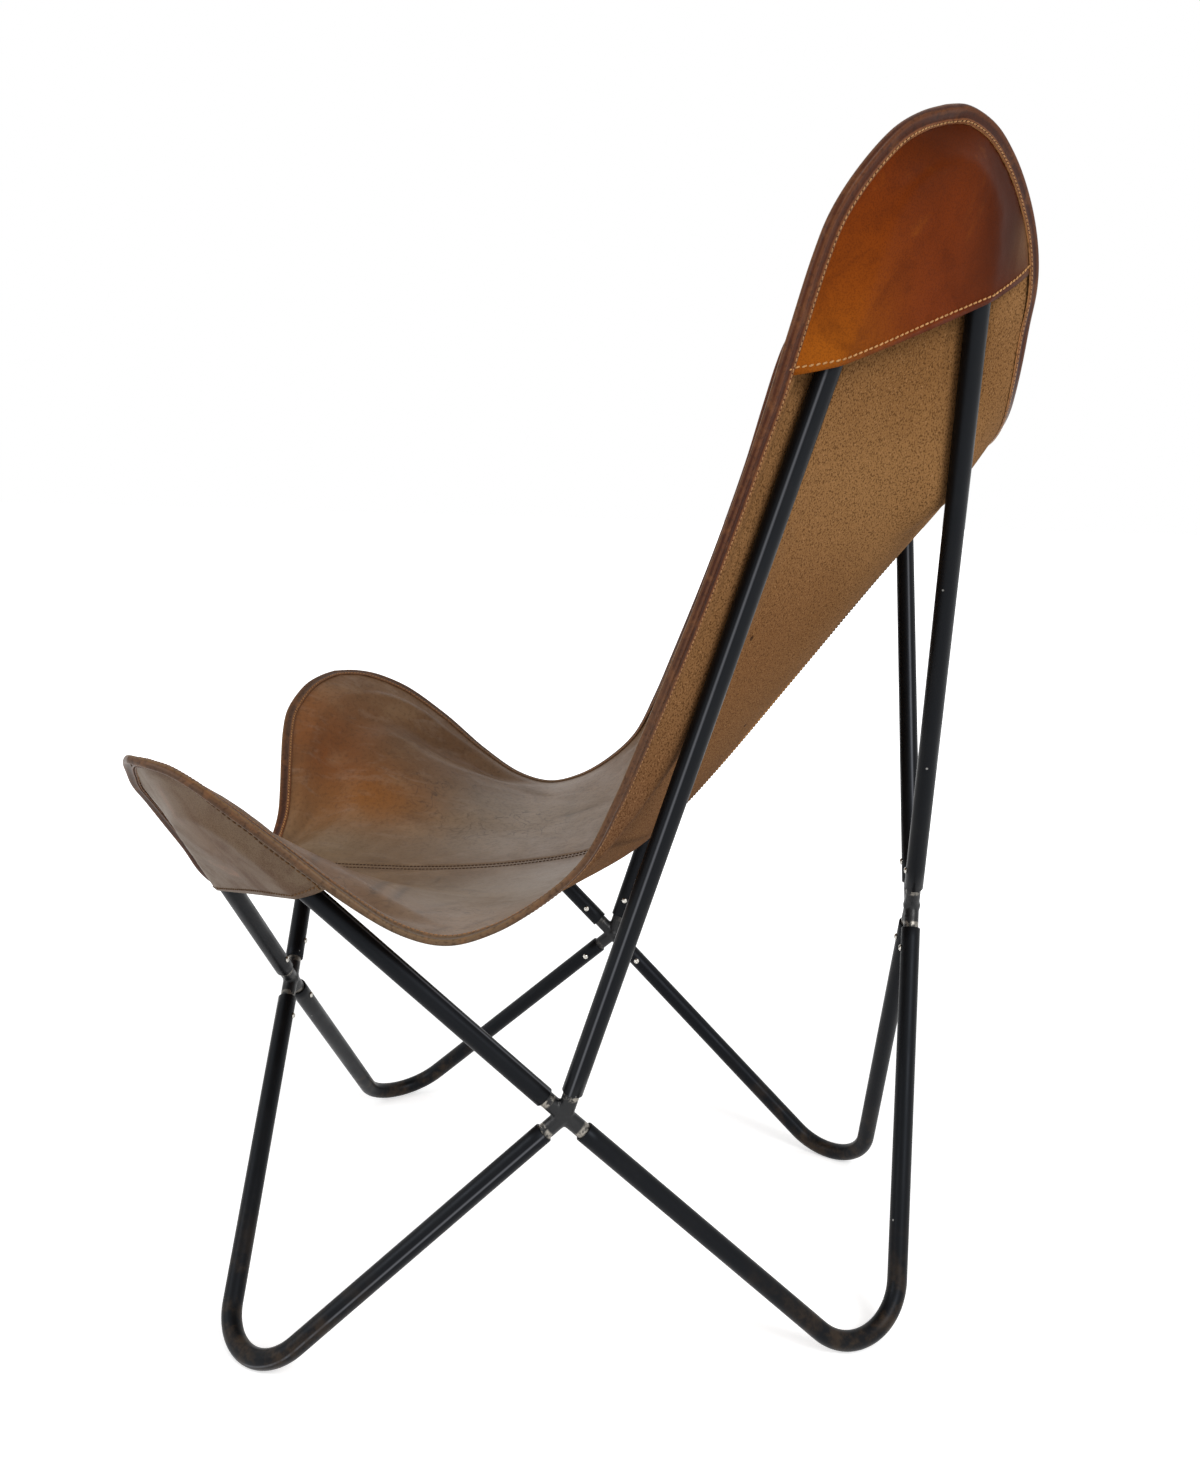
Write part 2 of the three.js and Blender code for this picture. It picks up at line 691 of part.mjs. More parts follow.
// A horn pocket: rungs from one side of the sling edge to the other, from the mouth up to the horn tip
function pocketRows(stations, first, last, horn, sag) {
  const count = 2 * Math.floor((last - first + 1) / 2);
  const span = stations.slice(first, first + count);
  const tubeEnds = [horn.path[0], horn.path[horn.path.length - 1]];
  const down = tubeEnds[0].clone().add(tubeEnds[1]).divideScalar(2).sub(horn.corner).normalize();
  const rungs = count / 2;
  const edge = span.map((station) => station.point);
  return Array.from({ length: rungs }, (_, rung) => {
    const start = span[rung];
    const end = span[count - 1 - rung];
    const droop = sag * (1 - rung / rungs) ** 2;
    const shares = rungShares(edge, start.point, end.point);
    return shares.map((share, column) => {
      if (column === 0) {
        return pocketRim(start);
      }
      if (column === shares.length - 1) {
        return pocketRim(end);
      }
      const point = start.point.clone().lerp(end.point, share);
      return pocketPoint(point.addScaledVector(down, droop * 4 * share * (1 - share)), span, horn);
    });
  });
}

function addPockets(stations) {
  const frontMouth = [
    frontCurve.getPointAt(FRONT_POCKET_EDGE_SHARE),
    sideCurve.getPointAt(FRONT_POCKET_SIDE_SHARE),
  ];
  const backMouth = [
    sideCurve.getPointAt(BACK_POCKET_SIDE_SHARE),
    topCurve.getPointAt(BACK_POCKET_EDGE_SHARE),
  ];
  const pockets = [
    ["front", frontHorn, frontMouth, FRONT_POCKET_SAG],
    ["back", backHorn, backMouth, BACK_POCKET_SAG],
  ];
  const spans = [];
  for (const [word, horn, mouth, sag] of pockets) {
    const [first, last] = mouth.map((point) => stationIndex(stations, point));
    spans.push([first, last]);
    const right = pocketRows(stations, first, last, horn, sag);
    const left = right.map((row) => row.map(mirrored));
    addPiece("pocket_" + word + "_right", sheetSolid(right, 1).geometry, POCKET_TAN);
    addPiece("pocket_" + word + "_left", sheetSolid(left, -1).geometry, POCKET_TAN);
  }
  return spans;
}

// One folded strip round the whole sling, deeper where a pocket or the lap lies under the edge
function addBinding(stations, spans) {
  const near = LEATHER_THICKNESS / 2 + BINDING_CLEARANCE;
  const half = stations.map((station, index) => {
    const doubled = spans.some(([first, last]) => index >= first - 1 && index <= last + 1);
    const lapped = station.column <= DEEP_BINDING_COLUMNS;
    const room = (doubled ? POCKET_ROOM : 0) + (doubled || lapped ? LAYER_STEP : 0);
    return { ...station, below: near + room };
  });
  const otherHalf = half
    .slice(1, -1)
    .reverse()
    .map((station) => ({
      point: mirrored(station.point),
      up: mirrored(station.up),
      inward: mirrored(station.inward),
      below: station.below,
    }));
  const sections = [...half, ...otherHalf].map(({ point, up, inward, below }) => {
    const outline = [
      [BINDING_WIDTH, near + BINDING_THICKNESS],
      [0, near + BINDING_THICKNESS],
      [-BINDING_CLEARANCE - BINDING_NOSE, (near - below) / 2],
      [0, -below - BINDING_THICKNESS],
      [BINDING_WIDTH, -below - BINDING_THICKNESS],
      [BINDING_WIDTH, -below],
      [-BINDING_CLEARANCE, -below],
      [-BINDING_CLEARANCE, near],
      [BINDING_WIDTH, near],
    ];
    return outline.map(([across, height]) => {
      const placed = point.clone().addScaledVector(inward, across);
      return placed.addScaledVector(up, height);
    });
  });
  const wide = sections[0].length;
  const triangles = [];
  sections.forEach((_, index) => {
    const next = (index + 1) % sections.length;
    for (let corner = 0; corner < wide; corner += 1) {
      const turn = (corner + 1) % wide;
      const a = index * wide + corner;
      const b = index * wide + turn;
      const c = next * wide + turn;
      const d = next * wide + corner;
      triangles.push([a, b, c], [a, c, d]);
    }
  });
  addPiece("edge_binding", geometryFrom(sections.flat(), triangles), BINDING_DARK);
}

function addSling() {
  const right = slingHalf(1);
  const left = slingHalf(-1);
  const rightSheet = sheetSolid(right, 1);
  const flush = sheetSolid(left, -1);
  const wide = left[0].length;
  const lowered = left.map((row, rowIndex) =>
    row.map((point, column) => {
      const normal = flush.normals[rowIndex * wide + column];
      return point.clone().addScaledVector(normal, column <= SEAM_LAP_COLUMNS ? -LAYER_STEP : 0);
    }),
  );
  addPiece("sling_right", rightSheet.geometry, LEATHER_BROWN);
  addPiece("sling_left", sheetSolid(lowered, -1).geometry, LEATHER_BROWN);
  const stations = edgeStations(right, rightSheet.normals);
  const spans = addPockets(stations);
  addBinding(stations, spans);
}

// The origin lies on the floor under the middle of the chair
function centreOnOrigin() {
  const middle = new THREE.Box3().setFromObject(chair).getCenter(new THREE.Vector3());
  chair.children.forEach((mesh) => mesh.geometry.translate(0, -middle.y, 0));
}

addFrame();
addSling();
centreOnOrigin();
export default chair;
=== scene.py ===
# Looks of the butterfly sling chair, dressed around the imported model.
# Shapes are worked out in millimetres in the drawing frame: Z up, the sitter faces -Y,
# and X = 0 is the mirror plane. The right half, with X above 0, is the one nearer to the camera.
import math

import bmesh
import bpy
import numpy as np
from mathutils import Matrix
from mathutils.kdtree import KDTree


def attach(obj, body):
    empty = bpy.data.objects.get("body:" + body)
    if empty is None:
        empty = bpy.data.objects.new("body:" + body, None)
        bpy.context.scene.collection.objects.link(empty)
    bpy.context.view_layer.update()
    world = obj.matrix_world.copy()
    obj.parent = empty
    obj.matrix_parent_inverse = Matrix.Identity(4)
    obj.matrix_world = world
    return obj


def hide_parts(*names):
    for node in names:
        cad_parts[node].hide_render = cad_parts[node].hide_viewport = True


MM = 0.001
NO_LENGTH = 1e-9
ORIGIN_SHIFT = np.array([0.0, 13.088, 0.0])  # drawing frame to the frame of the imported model

# Tube stock
TUBE_RADIUS = 8.0
TUBE_WALL = 1.2
BEND_RADIUS = 48.0
FRONT_HORN_BEND_RADIUS = 62.0
BACK_HORN_BEND_RADIUS = 54.0
FOOT_WEAR_DEPTH = 0.4
TUBE_END_GAP = 20.0
TUBE_END_ROUNDING = 0.5
BEND_STEPS = 40
TUBE_SIDES = 40
STRAIGHT_STEPS = 24
FLOOR_FIT_ROUNDS = 12
WELD_LINE_SIDE = 4
DUST_LOW, DUST_HIGH = 10.0, 100.0

SIDE_CROSSING = np.array([225.0, 0.0, 207.0])
FRONT_CROSSING = np.array([0.0, -278.0, 219.5])
REAR_CROSSING = np.array([0.0, 276.0, 317.5])
FRONT_FOOT_CORNER = np.array([272.0, -255.5, -29.0])
BACK_FOOT_CORNER = np.array([167.0, 261.5, -33.5])
FRONT_HORN_CORNER = np.array([275.5, -305.5, 489.0])
BACK_HORN_CORNER = np.array([327.0, 257.5, 1058.0])

# Connectors and screws
SPIGOT_RADIUS = 6.5
SPIGOT_REACH = 56.0
SPIGOT_SIDES = 28
SPIGOT_ASIDE = np.array([0.3, 0.5, 0.8])  # any direction that no spigot has
# How bare the weld of each connector is, and where along a spigot this starts and ends
BARE_SHARES = {"right": 1.0, "left": 0.15, "front": 0.6, "rear": 0.8}
BARE_FROM, BARE_TO = (14.5, 16.0), (20.5, 21.5)
WELD_CORE_RADIUS = 7.6
WELD_CORE_SUBDIVISIONS = 3
WELD_VOXEL = 0.9
WELD_SMOOTH_ROUNDS = 10
WELD_SMOOTH_SHARE = 0.5
SCREW_DISTANCE = 38.0
SCREW_HEAD_RADIUS = 2.8
SCREW_HEAD_HEIGHT = 1.9
SCREW_SINK = 0.35
SCREW_SIDES = 32
SCREW_RINGS = 14
SCREW_RECESS_RADIUS = 1.5
SCREW_RECESS_DEPTH = 0.7
SCREW_RECESS_WIDTH = 0.55

# Leather
LEATHER_THICKNESS = 2.4
LAYER_STEP = 2.8
SKIVED_THICKNESS = 1.4
SKIVED_STEP = 2.05
SKIVED_ROOM = 1.55
SKIVED_FLAT = 9.0
SKIVED_WIDTH = 16.0
SEAM_LAP = 6.0
SEAM_RAMP = 9.0
TUBE_COVER_OFFSET = 10.5
TUBE_COVER_FLAT = 14.0
TUBE_COVER_FADE = 24.0
TUBE_HUG_FLAT = 10.0
TUBE_HUG_FADE = 45.0
TUBE_HUG_FLOAT = 8.0
TUBE_HUG_LOSS = 26.0
FRONT_FADE_SHARE = 0.4
TOP_FADE_SHARE = 0.4
CURVE_SAMPLES = 30
CURVE_POWER = 0.5  # of the distance between two points: keeps uneven rows free of loops
COVER_BEND_STEPS = 10
ACROSS_STEPS = 150
ALONG_STEPS = 560
SLING_CROWDING = 0.35
LAP_STEPS = 3
STATION_STEP = 3.0

# Edge binding: a folded strip, with its stitches near its inner edge
BINDING_THICKNESS = 1.0
BINDING_NOSE = 1.9
BINDING_INSIDE_CORNERS = 4
BINDING_FIT = 0.15
BINDING_RAMP = 48.0
STITCH_INSET = 7.5
STITCH_FLOOR = 0.95
# From its raw inner edge to the fold: distance from the sling edge, height in thicknesses, tone
BINDING_LEG = [
    (9.3, 0.3, "raw"), (9.1, 0.95, "raw"), (8.8, 1.3, "ridge"), (8.2, 1.4, "ridge"),
    (7.8, STITCH_FLOOR, "groove"), (7.2, STITCH_FLOOR, "groove"), (6.8, 1.4, "ridge"), (6.2, 1.3, "ridge"),
    (5.6, 0.6, "shaded_hollow"), (4.2, 0.5, "shaded_hollow"), (2.6, 0.6, "shaded_hollow"), (1.2, 1.0, "roll"),
]
# Tones round the nose, from its upper side to its lower: the pale tone on the upper curve is a painted
# highlight, the dark tone on the lower curve painted shade
BINDING_NOSE_TONES = ["roll", "lit_lip", "lit_lip", "nose", "nose", "shaded_hollow", "shaded_hollow", "nose", "roll"]

# Pockets
POCKET_RUNGS = 64
POCKET_RUNG_POWER = 0.85
POCKET_LAST_RUNG_SHARE = 0.985
POCKET_COLUMNS = 44
POCKET_CROWDING = 0.6
POCKET_RIM_MARGIN = 1.0
POCKET_THICKNESS = 2.2
POCKET_FIRST_INSET = 10.0
POCKET_SECOND_INSET = 21.0
POCKET_RELAX_ROUNDS = 260
POCKET_RELAX_SHARE = 0.9
POCKET_CHECK_EVERY = 20
POCKET_TUBE_CLEARANCE = 0.3
POCKET_SHEET_GAP = 3.0
POCKET_HEM_STITCH = 5.2
POCKET_HEM_PITCH = 4.6
POCKET_HEM_SCALE = 1.25
PERIMETER_INSETS = {"front": [15.0], "back": []}
PERIMETER_TURN = 3.0
FRONT_POCKET_EDGE_SHARE = 0.285
FRONT_POCKET_SIDE_SHARE = 0.198
FRONT_POCKET_SAG = -1.5
BACK_POCKET_EDGE_SHARE = 0.572
BACK_POCKET_SIDE_SHARE = 0.776
BACK_POCKET_SAG = 3.0

# Thread
STITCH_PITCH = 3.3
STITCH_LENGTH = 2.6
STITCH_RADIUS = 0.5
STITCH_SIDES = 6
STITCH_SLANT = 0.16
STITCH_SLANT_SPREAD = 0.05
STITCH_RISE_SHARE = 0.5
STITCH_PROBE_PARTS = 6
# Rings of one stitch: place as a share of its length, then radius and sink as shares of its radius
STITCH_RINGS = [
    (-0.5, 0.45, -0.35), (-0.4, 0.95, -0.18), (0.0, 1.1, 0.0), (0.4, 0.95, -0.18), (0.5, 0.45, -0.35),
]
SEAM_ROW_OFFSETS = (-4.2, 4.2)
SEAM_SHARES = np.linspace(0.012, 0.988, 400)
SEAM_PROBE_SHARE = 0.004
HEM_END_COLUMNS = 2

FRONT_EDGE = [
    (0, -316, 315), (48, -317, 320), (80, -319, 332), (105, -321, 349), (124, -325, 371), (147, -331, 396),
    (169, -336, 419), (189, -338, 436), (208, -334, 450), (227, -328, 460), (246, -319, 466),
    (261, -310, 469),
]
SIDE_EDGE = [
    (261, -310, 469), (273, -293, 469), (281, -274, 466), (288, -255, 459), (294, -235, 448.5),
    (295, -194, 420), (290, -152, 387), (288, -112, 362), (286, -78, 354.5), (281, -46, 363.5),
    (275, -14, 384), (272, 15, 413.5), (276, 35, 455), (284, 52, 499), (295, 87, 595), (307, 120, 698),
    (317, 136, 758), (323, 149, 805), (326, 157, 827), (322, 171.5, 852), (311, 192.5, 878),
    (298, 209, 890.5), (285, 225.5, 898),
]
TOP_EDGE = [
    (285, 225.5, 898), (273, 238, 901), (252, 258, 896), (232, 273, 885), (212, 286, 870), (190, 298, 850),
    (175, 305, 830), (164, 308, 810), (153, 308, 789), (142, 307, 763), (127, 306.5, 743),
    (104, 307.5, 730), (62, 308, 719), (0, 308, 715),
]
CENTRE_LINE = [
    (0, -316, 315), (0, -272, 325), (0, -220, 326), (0, -165, 327), (0, -110, 331), (0, -60, 338),
    (0, -10, 349), (0, 32, 366), (0, 66, 394), (0, 100, 434), (0, 160, 513), (0, 224, 598), (0, 277, 666),
    (0, 300, 701), (0, 308, 715),
]
SITTER = np.array([0.0, -50.0, 500.0])

CREASE_FADE_SHARE = 0.3
# Centre, core and reach of the seat area whose fine wrinkles get painted shade
WRINKLE_SHADE_CENTRE = np.array([180.0, 110.0, 345.0])
WRINKLE_SHADE_CORE, WRINKLE_SHADE_REACH = 60.0, 150.0
# How strongly a crease's rise paints the tone: painted shade in furrows, painted light on ridges, with the
# darkest share allowed
CREASE_SHADE, CREASE_DARKEST = 1.4, 0.6
# Creases of the worn seat in plan, for the right and the left half: start, end, rise, width; the rise also
# paints shade into furrows and light onto ridges
CREASES = {
    1: [
        ((248, -142), (118, -154), -0.3, 2.7), ((243, -135), (148, -144), 0.2, 2.4),
        ((238, -128), (132, -137), -0.28, 2.7), ((274, -183), (150, -200), -0.2, 3.2),
        ((209, -172), (112, -182), -0.22, 2.8), ((22, -174), (12, -142), 0.15, 3.0),
        ((74, -132), (18, -134), -0.22, 2.4), ((92, -106), (120, -72), -0.22, 3.0),
        ((254, -72), (232, -46), -0.22, 3.0), ((278, -96), (250, -80), -0.22, 2.6),
        ((291, -162), (284, -134), -0.2, 3.0), ((220, -112), (160, -88), -0.16, 3.0),
        ((242, -114), (212, -94), -0.16, 3.0), ((96, -146), (58, -156), -0.16, 2.4),
        ((278, 17), (104, 56), -0.4, 1.8),
    ],
    -1: [
        ((138, -58), (150, -6), -0.22, 3.0), ((214, -150), (96, -112), -0.08, 6.0),
        ((238, -96), (120, -70), 0.08, 5.0), ((228, -48), (84, -34), -0.1, 6.0),
        ((150, -176), (60, -150), 0.08, 6.0), ((96, -112), (70, -30), -0.1, 4.0),
    ],
}

# Depths of the fine relief of the materials, in metres
BRUSHED_DEPTH, PORE_DEPTH, SKIN_DEPTH = 0.0001, 0.00018, 0.0002
FIBRE_DEPTH, FINE_DEPTH, NAP_DEPTH = 0.0003, 0.0004, 0.0005
STREAK_DEPTH, LUMP_DEPTH, SWELL_DEPTH = 0.0006, 0.0008, 0.0045

# Camera, solved from the photograph
CAMERA_PLACE = np.array([1199.3, 102.4, 654.8])
CAMERA_YAW = math.radians(94.895)
CAMERA_PITCH = math.radians(9.233)
CAMERA_ROLL = math.radians(1.533)
FOCAL_PIXELS = 1400.0
IMAGE_HEIGHT = 1463.0
SENSOR = 36.0

# Stage, in metres
VIEW_REACH = 200.0
FLOOR_REACH = 60.0
FLOOR_SHADOW_REACH = 0.7
FLOOR_WHITE_REACH = 1.6
FLOOR_NEAR_GLOW = 0.5
FLOOR_COLOUR = (0.9, 0.9, 0.9, 1.0)
WORLD_LIGHT = 0.55
LAMP_SIZE = 1.3
# Lamps: name, place, target, power
LAMPS = [
    ("key", (2.4, 1.6, 2.2), (0, 0, 0.45), 64),
    ("fill", (1.6, -2.6, 1.8), (0, 0, 0.4), 35),
]

SIDES = (("right", 1), ("left", -1))
rng = np.random.default_rng(7)
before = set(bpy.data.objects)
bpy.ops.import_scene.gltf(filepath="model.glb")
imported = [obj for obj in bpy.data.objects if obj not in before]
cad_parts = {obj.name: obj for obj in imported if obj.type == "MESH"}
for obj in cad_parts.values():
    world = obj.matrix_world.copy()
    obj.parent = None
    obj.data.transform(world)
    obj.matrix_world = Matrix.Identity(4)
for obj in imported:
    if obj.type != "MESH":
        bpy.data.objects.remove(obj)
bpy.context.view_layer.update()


# Small vector helpers
def unit(vectors):
    lengths = np.linalg.norm(vectors, axis=-1, keepdims=True)
    return vectors / np.maximum(lengths, NO_LENGTH)


def smooth_step(low, high, value):
    share = np.clip((value - low) / (high - low), 0, 1)
    return share * share * (3 - 2 * share)


def mirrored(points):
    return points * np.array([-1.0, 1.0, 1.0])


def on_side(points, side):
    return points if side > 0 else mirrored(points)


def to_frame(points):
    return (points + ORIGIN_SHIFT) * MM


def circle(first, second, sides):
    """Directions all round, from the first direction over the second."""
    angles = np.linspace(0, 2 * math.pi, sides, endpoint=False)
    return np.cos(angles)[:, None] * first + np.sin(angles)[:, None] * second


def run_lengths(points):
    """The distance along a line of points, at each of them."""
    return np.concatenate([[0], np.cumsum(np.linalg.norm(np.diff(points, axis=0), axis=1))])


def read_rows(values, lengths, places):
    """The rows of values at places along lengths."""
    return np.stack([np.interp(places, lengths, column) for column in values.T], axis=-1)


# Curves
class Curve:
    """A smooth curve through the rows, read by its share of the length."""

    def __init__(self, rows):
        points = np.array(rows, float)
        whole = np.vstack([2 * points[0] - points[1], points, 2 * points[-1] - points[-2]])
        pieces = [self.span(*corners) for corners in zip(whole, whole[1:], whole[2:], whole[3:])]
        self.points = np.vstack(pieces + [points[-1:]])
        self.lengths = run_lengths(self.points)
        self.length = self.lengths[-1]

    def span(self, before, start, end, after):
        """Points from start to end, leaving and arriving as their neighbours ask."""
        pairs = ((before, start), (start, end), (end, after))
        step0, step1, step2 = (np.linalg.norm(b - a) ** CURVE_POWER for a, b in pairs)
        leave = (start - before) / step0 - (end - before) / (step0 + step1) + (end - start) / step1
        arrive = (end - start) / step1 - (after - start) / (step1 + step2) + (after - end) / step2
        leave, arrive = leave * step1, arrive * step1
        square = -3 * start + 3 * end - 2 * leave - arrive
        cube = 2 * start - 2 * end + leave + arrive
        share = np.linspace(0, 1, CURVE_SAMPLES, endpoint=False)[:, None]
        return start + leave * share + square * share**2 + cube * share**3

    def at(self, share):
        return read_rows(self.points, self.lengths, np.asarray(share, float) * self.length)


front_curve = Curve(FRONT_EDGE)
side_curve = Curve(SIDE_EDGE)
top_curve = Curve(TOP_EDGE[::-1])
centre_curve = Curve(CENTRE_LINE)


def bent_path(start, corner, end, radius, steps=BEND_STEPS):
    """Centre line of a V: straight, one round bend, straight."""
    to_start, to_end = unit(start - corner), unit(end - corner)
    half_angle = math.acos(float(to_start @ to_end)) / 2
    centre = corner + unit(to_start + to_end) * radius / math.sin(half_angle)
    tangent = radius / math.tan(half_angle)
    first, last = corner + to_start * tangent - centre, corner + to_end * tangent - centre
    sweep = math.pi - 2 * half_angle
    shares = np.linspace(0, 1, steps + 1)[:, None]
    arc = (np.sin((1 - shares) * sweep) * first + np.sin(shares * sweep) * last) / math.sin(sweep) + centre
    lead = np.linspace(0, 1, STRAIGHT_STEPS, endpoint=False)[:, None]
    return np.vstack([start + (arc[0] - start) * lead, arc, end + (arc[-1] - end) * lead[::-1]])


def corner_on_floor(start, corner, end):
    """The corner lowered until the bend stands on the floor, worn flat by the wear depth."""
    lowered = corner.copy()
    for _ in range(FLOOR_FIT_ROUNDS):
        lowest = bent_path(start, lowered, end, BEND_RADIUS)[:, 2].min()
        lowered[2] += TUBE_RADIUS - FOOT_WEAR_DEPTH - lowest
    return lowered


FRONT_FOOT = corner_on_floor(FRONT_CROSSING, FRONT_FOOT_CORNER, SIDE_CROSSING)
BACK_FOOT = corner_on_floor(REAR_CROSSING, BACK_FOOT_CORNER, SIDE_CROSSING)


def closest_on_path(path, points):
    """For each point, the nearest place on a polyline."""
    start, step = path[:-1], np.diff(path, axis=0)
    flat = points.reshape(-1, 1, 3)
    share = np.clip(((flat - start) * step).sum(-1) / (step**2).sum(-1), 0, 1)
    places = start + step * share[..., None]
    best = np.linalg.norm(places - flat, axis=-1).argmin(1)
    return places[np.arange(len(best)), best].reshape(points.shape)


class Horn:
    """A bent tube that carries a corner of the sling, and its plane with the normal towards the sitter."""

    def __init__(self, crossing, corner, other, radius):
        bend = bent_path(crossing, corner, other, radius, COVER_BEND_STEPS)[STRAIGHT_STEPS:-STRAIGHT_STEPS]
        self.path = np.vstack([crossing, bend, other])
        self.corner = corner
        normal = unit(np.cross(crossing - corner, other - corner))
        self.normal = normal * np.sign(normal @ (SITTER - corner))
        self.down = unit((crossing + other) / 2 - corner)

    def height(self, points):
        return (points - self.corner) @ self.normal

    def beside(self, points):
        """Height of points over the horn's plane, their feet in it, and how far these lie from the tube."""
        height = self.height(points)
        flat = points - height[..., None] * self.normal
        return height, flat, np.linalg.norm(closest_on_path(self.path, flat) - flat, axis=-1)

    def pulled(self, points):
        """Sheet points lifted clear of the tube, or drawn down to it where they float over it."""
        height, _, distance = self.beside(points)
        cover = 1 - smooth_step(TUBE_COVER_FLAT, TUBE_COVER_FADE, distance)
        low = 1 - smooth_step(TUBE_HUG_FLOAT, TUBE_HUG_LOSS, height - TUBE_COVER_OFFSET)
        hug = (1 - smooth_step(TUBE_HUG_FLAT, TUBE_HUG_FADE, distance)) * low
        lift = TUBE_COVER_OFFSET - height
        return points + (lift * np.where(lift > 0, cover, hug))[..., None] * self.normal


front_horn = Horn(SIDE_CROSSING, FRONT_HORN_CORNER, FRONT_CROSSING, FRONT_HORN_BEND_RADIUS)
back_horn = Horn(SIDE_CROSSING, BACK_HORN_CORNER, REAR_CROSSING, BACK_HORN_BEND_RADIUS)


# Sling surface, as a smooth sheet between its edge curves and its centre line
def rise_of(curve, across, bow):
    """How far an edge curve stands off the plain bow between its two ends."""
    return curve.at(across) - curve.at(0) * (1 - bow) - curve.at(1) * bow


def blended(across, along):
    """The plain bow from the centre line to the side edge, with the rise of the front and the top edge."""
    centre, side = centre_curve.at(along), side_curve.at(along)
    bow = np.stack([across, across**2, across**2], axis=-1)
    near_front = (1 - smooth_step(0, FRONT_FADE_SHARE, along))[..., None]
    near_top = smooth_step(1 - TOP_FADE_SHARE, 1, along)[..., None]
    front_rise, top_rise = rise_of(front_curve, across, bow), rise_of(top_curve, across, bow)
    return centre * (1 - bow) + side * bow + front_rise * near_front + top_rise * near_top


def sling_points(across, along):
    """Middle surface of the right half; a negative share across lies over the centre line."""
    points = blended(np.abs(across), along)
    for horn in (front_horn, back_horn):
        points = horn.pulled(points)
    points[..., 0] *= np.where(across < 0, -1, 1)
    return points


def grid_faces(tall, wide):
    corner = (np.arange(tall - 1)[:, None] * wide + np.arange(wide - 1)).ravel()
    return np.stack([corner, corner + 1, corner + wide + 1, corner + wide], axis=1)


def ring_faces(count, sides):
    """Faces from each ring of points to the next, those from the last ring back to the first at the end."""
    first = np.arange(count)[:, None] * sides
    here = (first + np.arange(sides)).ravel()
    turn = (first + (np.arange(sides) + 1) % sides).ravel()
    whole = count * sides
    return np.stack([here, turn, (turn + sides) % whole, (here + sides) % whole], axis=1)


def grid_normals(grid):
    """Area-weighted normals of a grid of points."""
    tall, wide, _ = grid.shape
    faces = grid_faces(tall, wide)
    points = grid.reshape(-1, 3)
    crossed = np.cross(points[faces[:, 2]] - points[faces[:, 0]], points[faces[:, 3]] - points[faces[:, 1]])
    normals = np.zeros_like(points)
    for corner in range(4):
        np.add.at(normals, faces[:, corner], crossed)
    return unit(normals).reshape(grid.shape)


def eased(count, crowding):
    """Shares from 0 to 1, closer together at the ends."""
    share = np.linspace(0, 1, count)
    return share - crowding * np.sin(2 * np.pi * share) / (2 * np.pi)


lap_share = SEAM_LAP / side_curve.at(0.5)[0]
lap_shares = np.linspace(-lap_share, 0, LAP_STEPS, endpoint=False)
across_shares = np.concatenate([lap_shares, eased(ACROSS_STEPS, SLING_CROWDING)])
along_shares = eased(ALONG_STEPS, SLING_CROWDING)
sling_grid = sling_points(*np.meshgrid(across_shares, along_shares))
sling_normals = grid_normals(sling_grid)


# Mesh building
def add_object(name, data):
    made = bpy.data.objects.new(name, data)
    bpy.context.scene.collection.objects.link(made)
    return made


def make_piece(name, points, faces, slots, face_slots=None):
    """A mesh object from points in the drawing frame, riding on the one body."""
    mesh = bpy.data.meshes.new(name)
    corners = [tuple(int(index) for index in face) for face in faces]
    mesh.from_pydata(to_frame(np.asarray(points)).tolist(), [], corners)
    for material in slots:
        mesh.materials.append(material)
    if face_slots is not None:
        mesh.polygons.foreach_set("material_index", np.asarray(face_slots, dtype=np.int32))
    mesh.polygons.foreach_set("use_smooth", np.full(len(mesh.polygons), True))
    mesh.update()
    piece = add_object(name, mesh)
    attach(piece, "root")
    return piece


def paint(piece, name, values):
    """Keeps one number, or one colour, for each point of a piece, for its material to read."""
    values = np.asarray(values, dtype=np.float32)
    if values.ndim == 1:
        layer = piece.data.attributes.new(name, "FLOAT", "POINT")
        layer.data.foreach_set("value", values)
    else:
        layer = piece.data.attributes.new(name, "FLOAT_COLOR", "POINT")
        opaque = np.concatenate([values, np.ones((len(values), 1), np.float32)], axis=1)
        layer.data.foreach_set("color", opaque.ravel())


def rim_of(tall, wide):
    """The grid indices round the rim."""
    return np.concatenate([
        np.arange(wide),
        np.arange(1, tall) * wide + wide - 1,
        (tall - 1) * wide + np.arange(wide - 2, -1, -1),
        np.arange(tall - 2, 0, -1) * wide,
    ])


def leaf(grid, thickness, side):
    """Points, faces and face kinds (0 upper, 1 lower, 2 rim) of a sheet of even or given thickness."""
    tall, wide, _ = grid.shape
    normals = grid_normals(grid)
    half = np.broadcast_to(np.asarray(thickness, float) / 2, (tall, wide))[..., None]
    upper = (grid + normals * half).reshape(-1, 3)
    lower = (grid - normals * half).reshape(-1, 3)
    faces = grid_faces(tall, wide)
    count = tall * wide
    rim = rim_of(tall, wide)
    after = np.roll(rim, -1)
    wall = np.stack([rim, rim + count, after + count, after], axis=1)
    every = np.concatenate([faces, faces[:, ::-1] + count, wall])
    kinds = np.concatenate([np.zeros(len(faces)), np.ones(len(faces)), np.full(len(wall), 2)])
    points = on_side(np.concatenate([upper, lower]), side)
    return points, every if side > 0 else every[:, ::-1], kinds


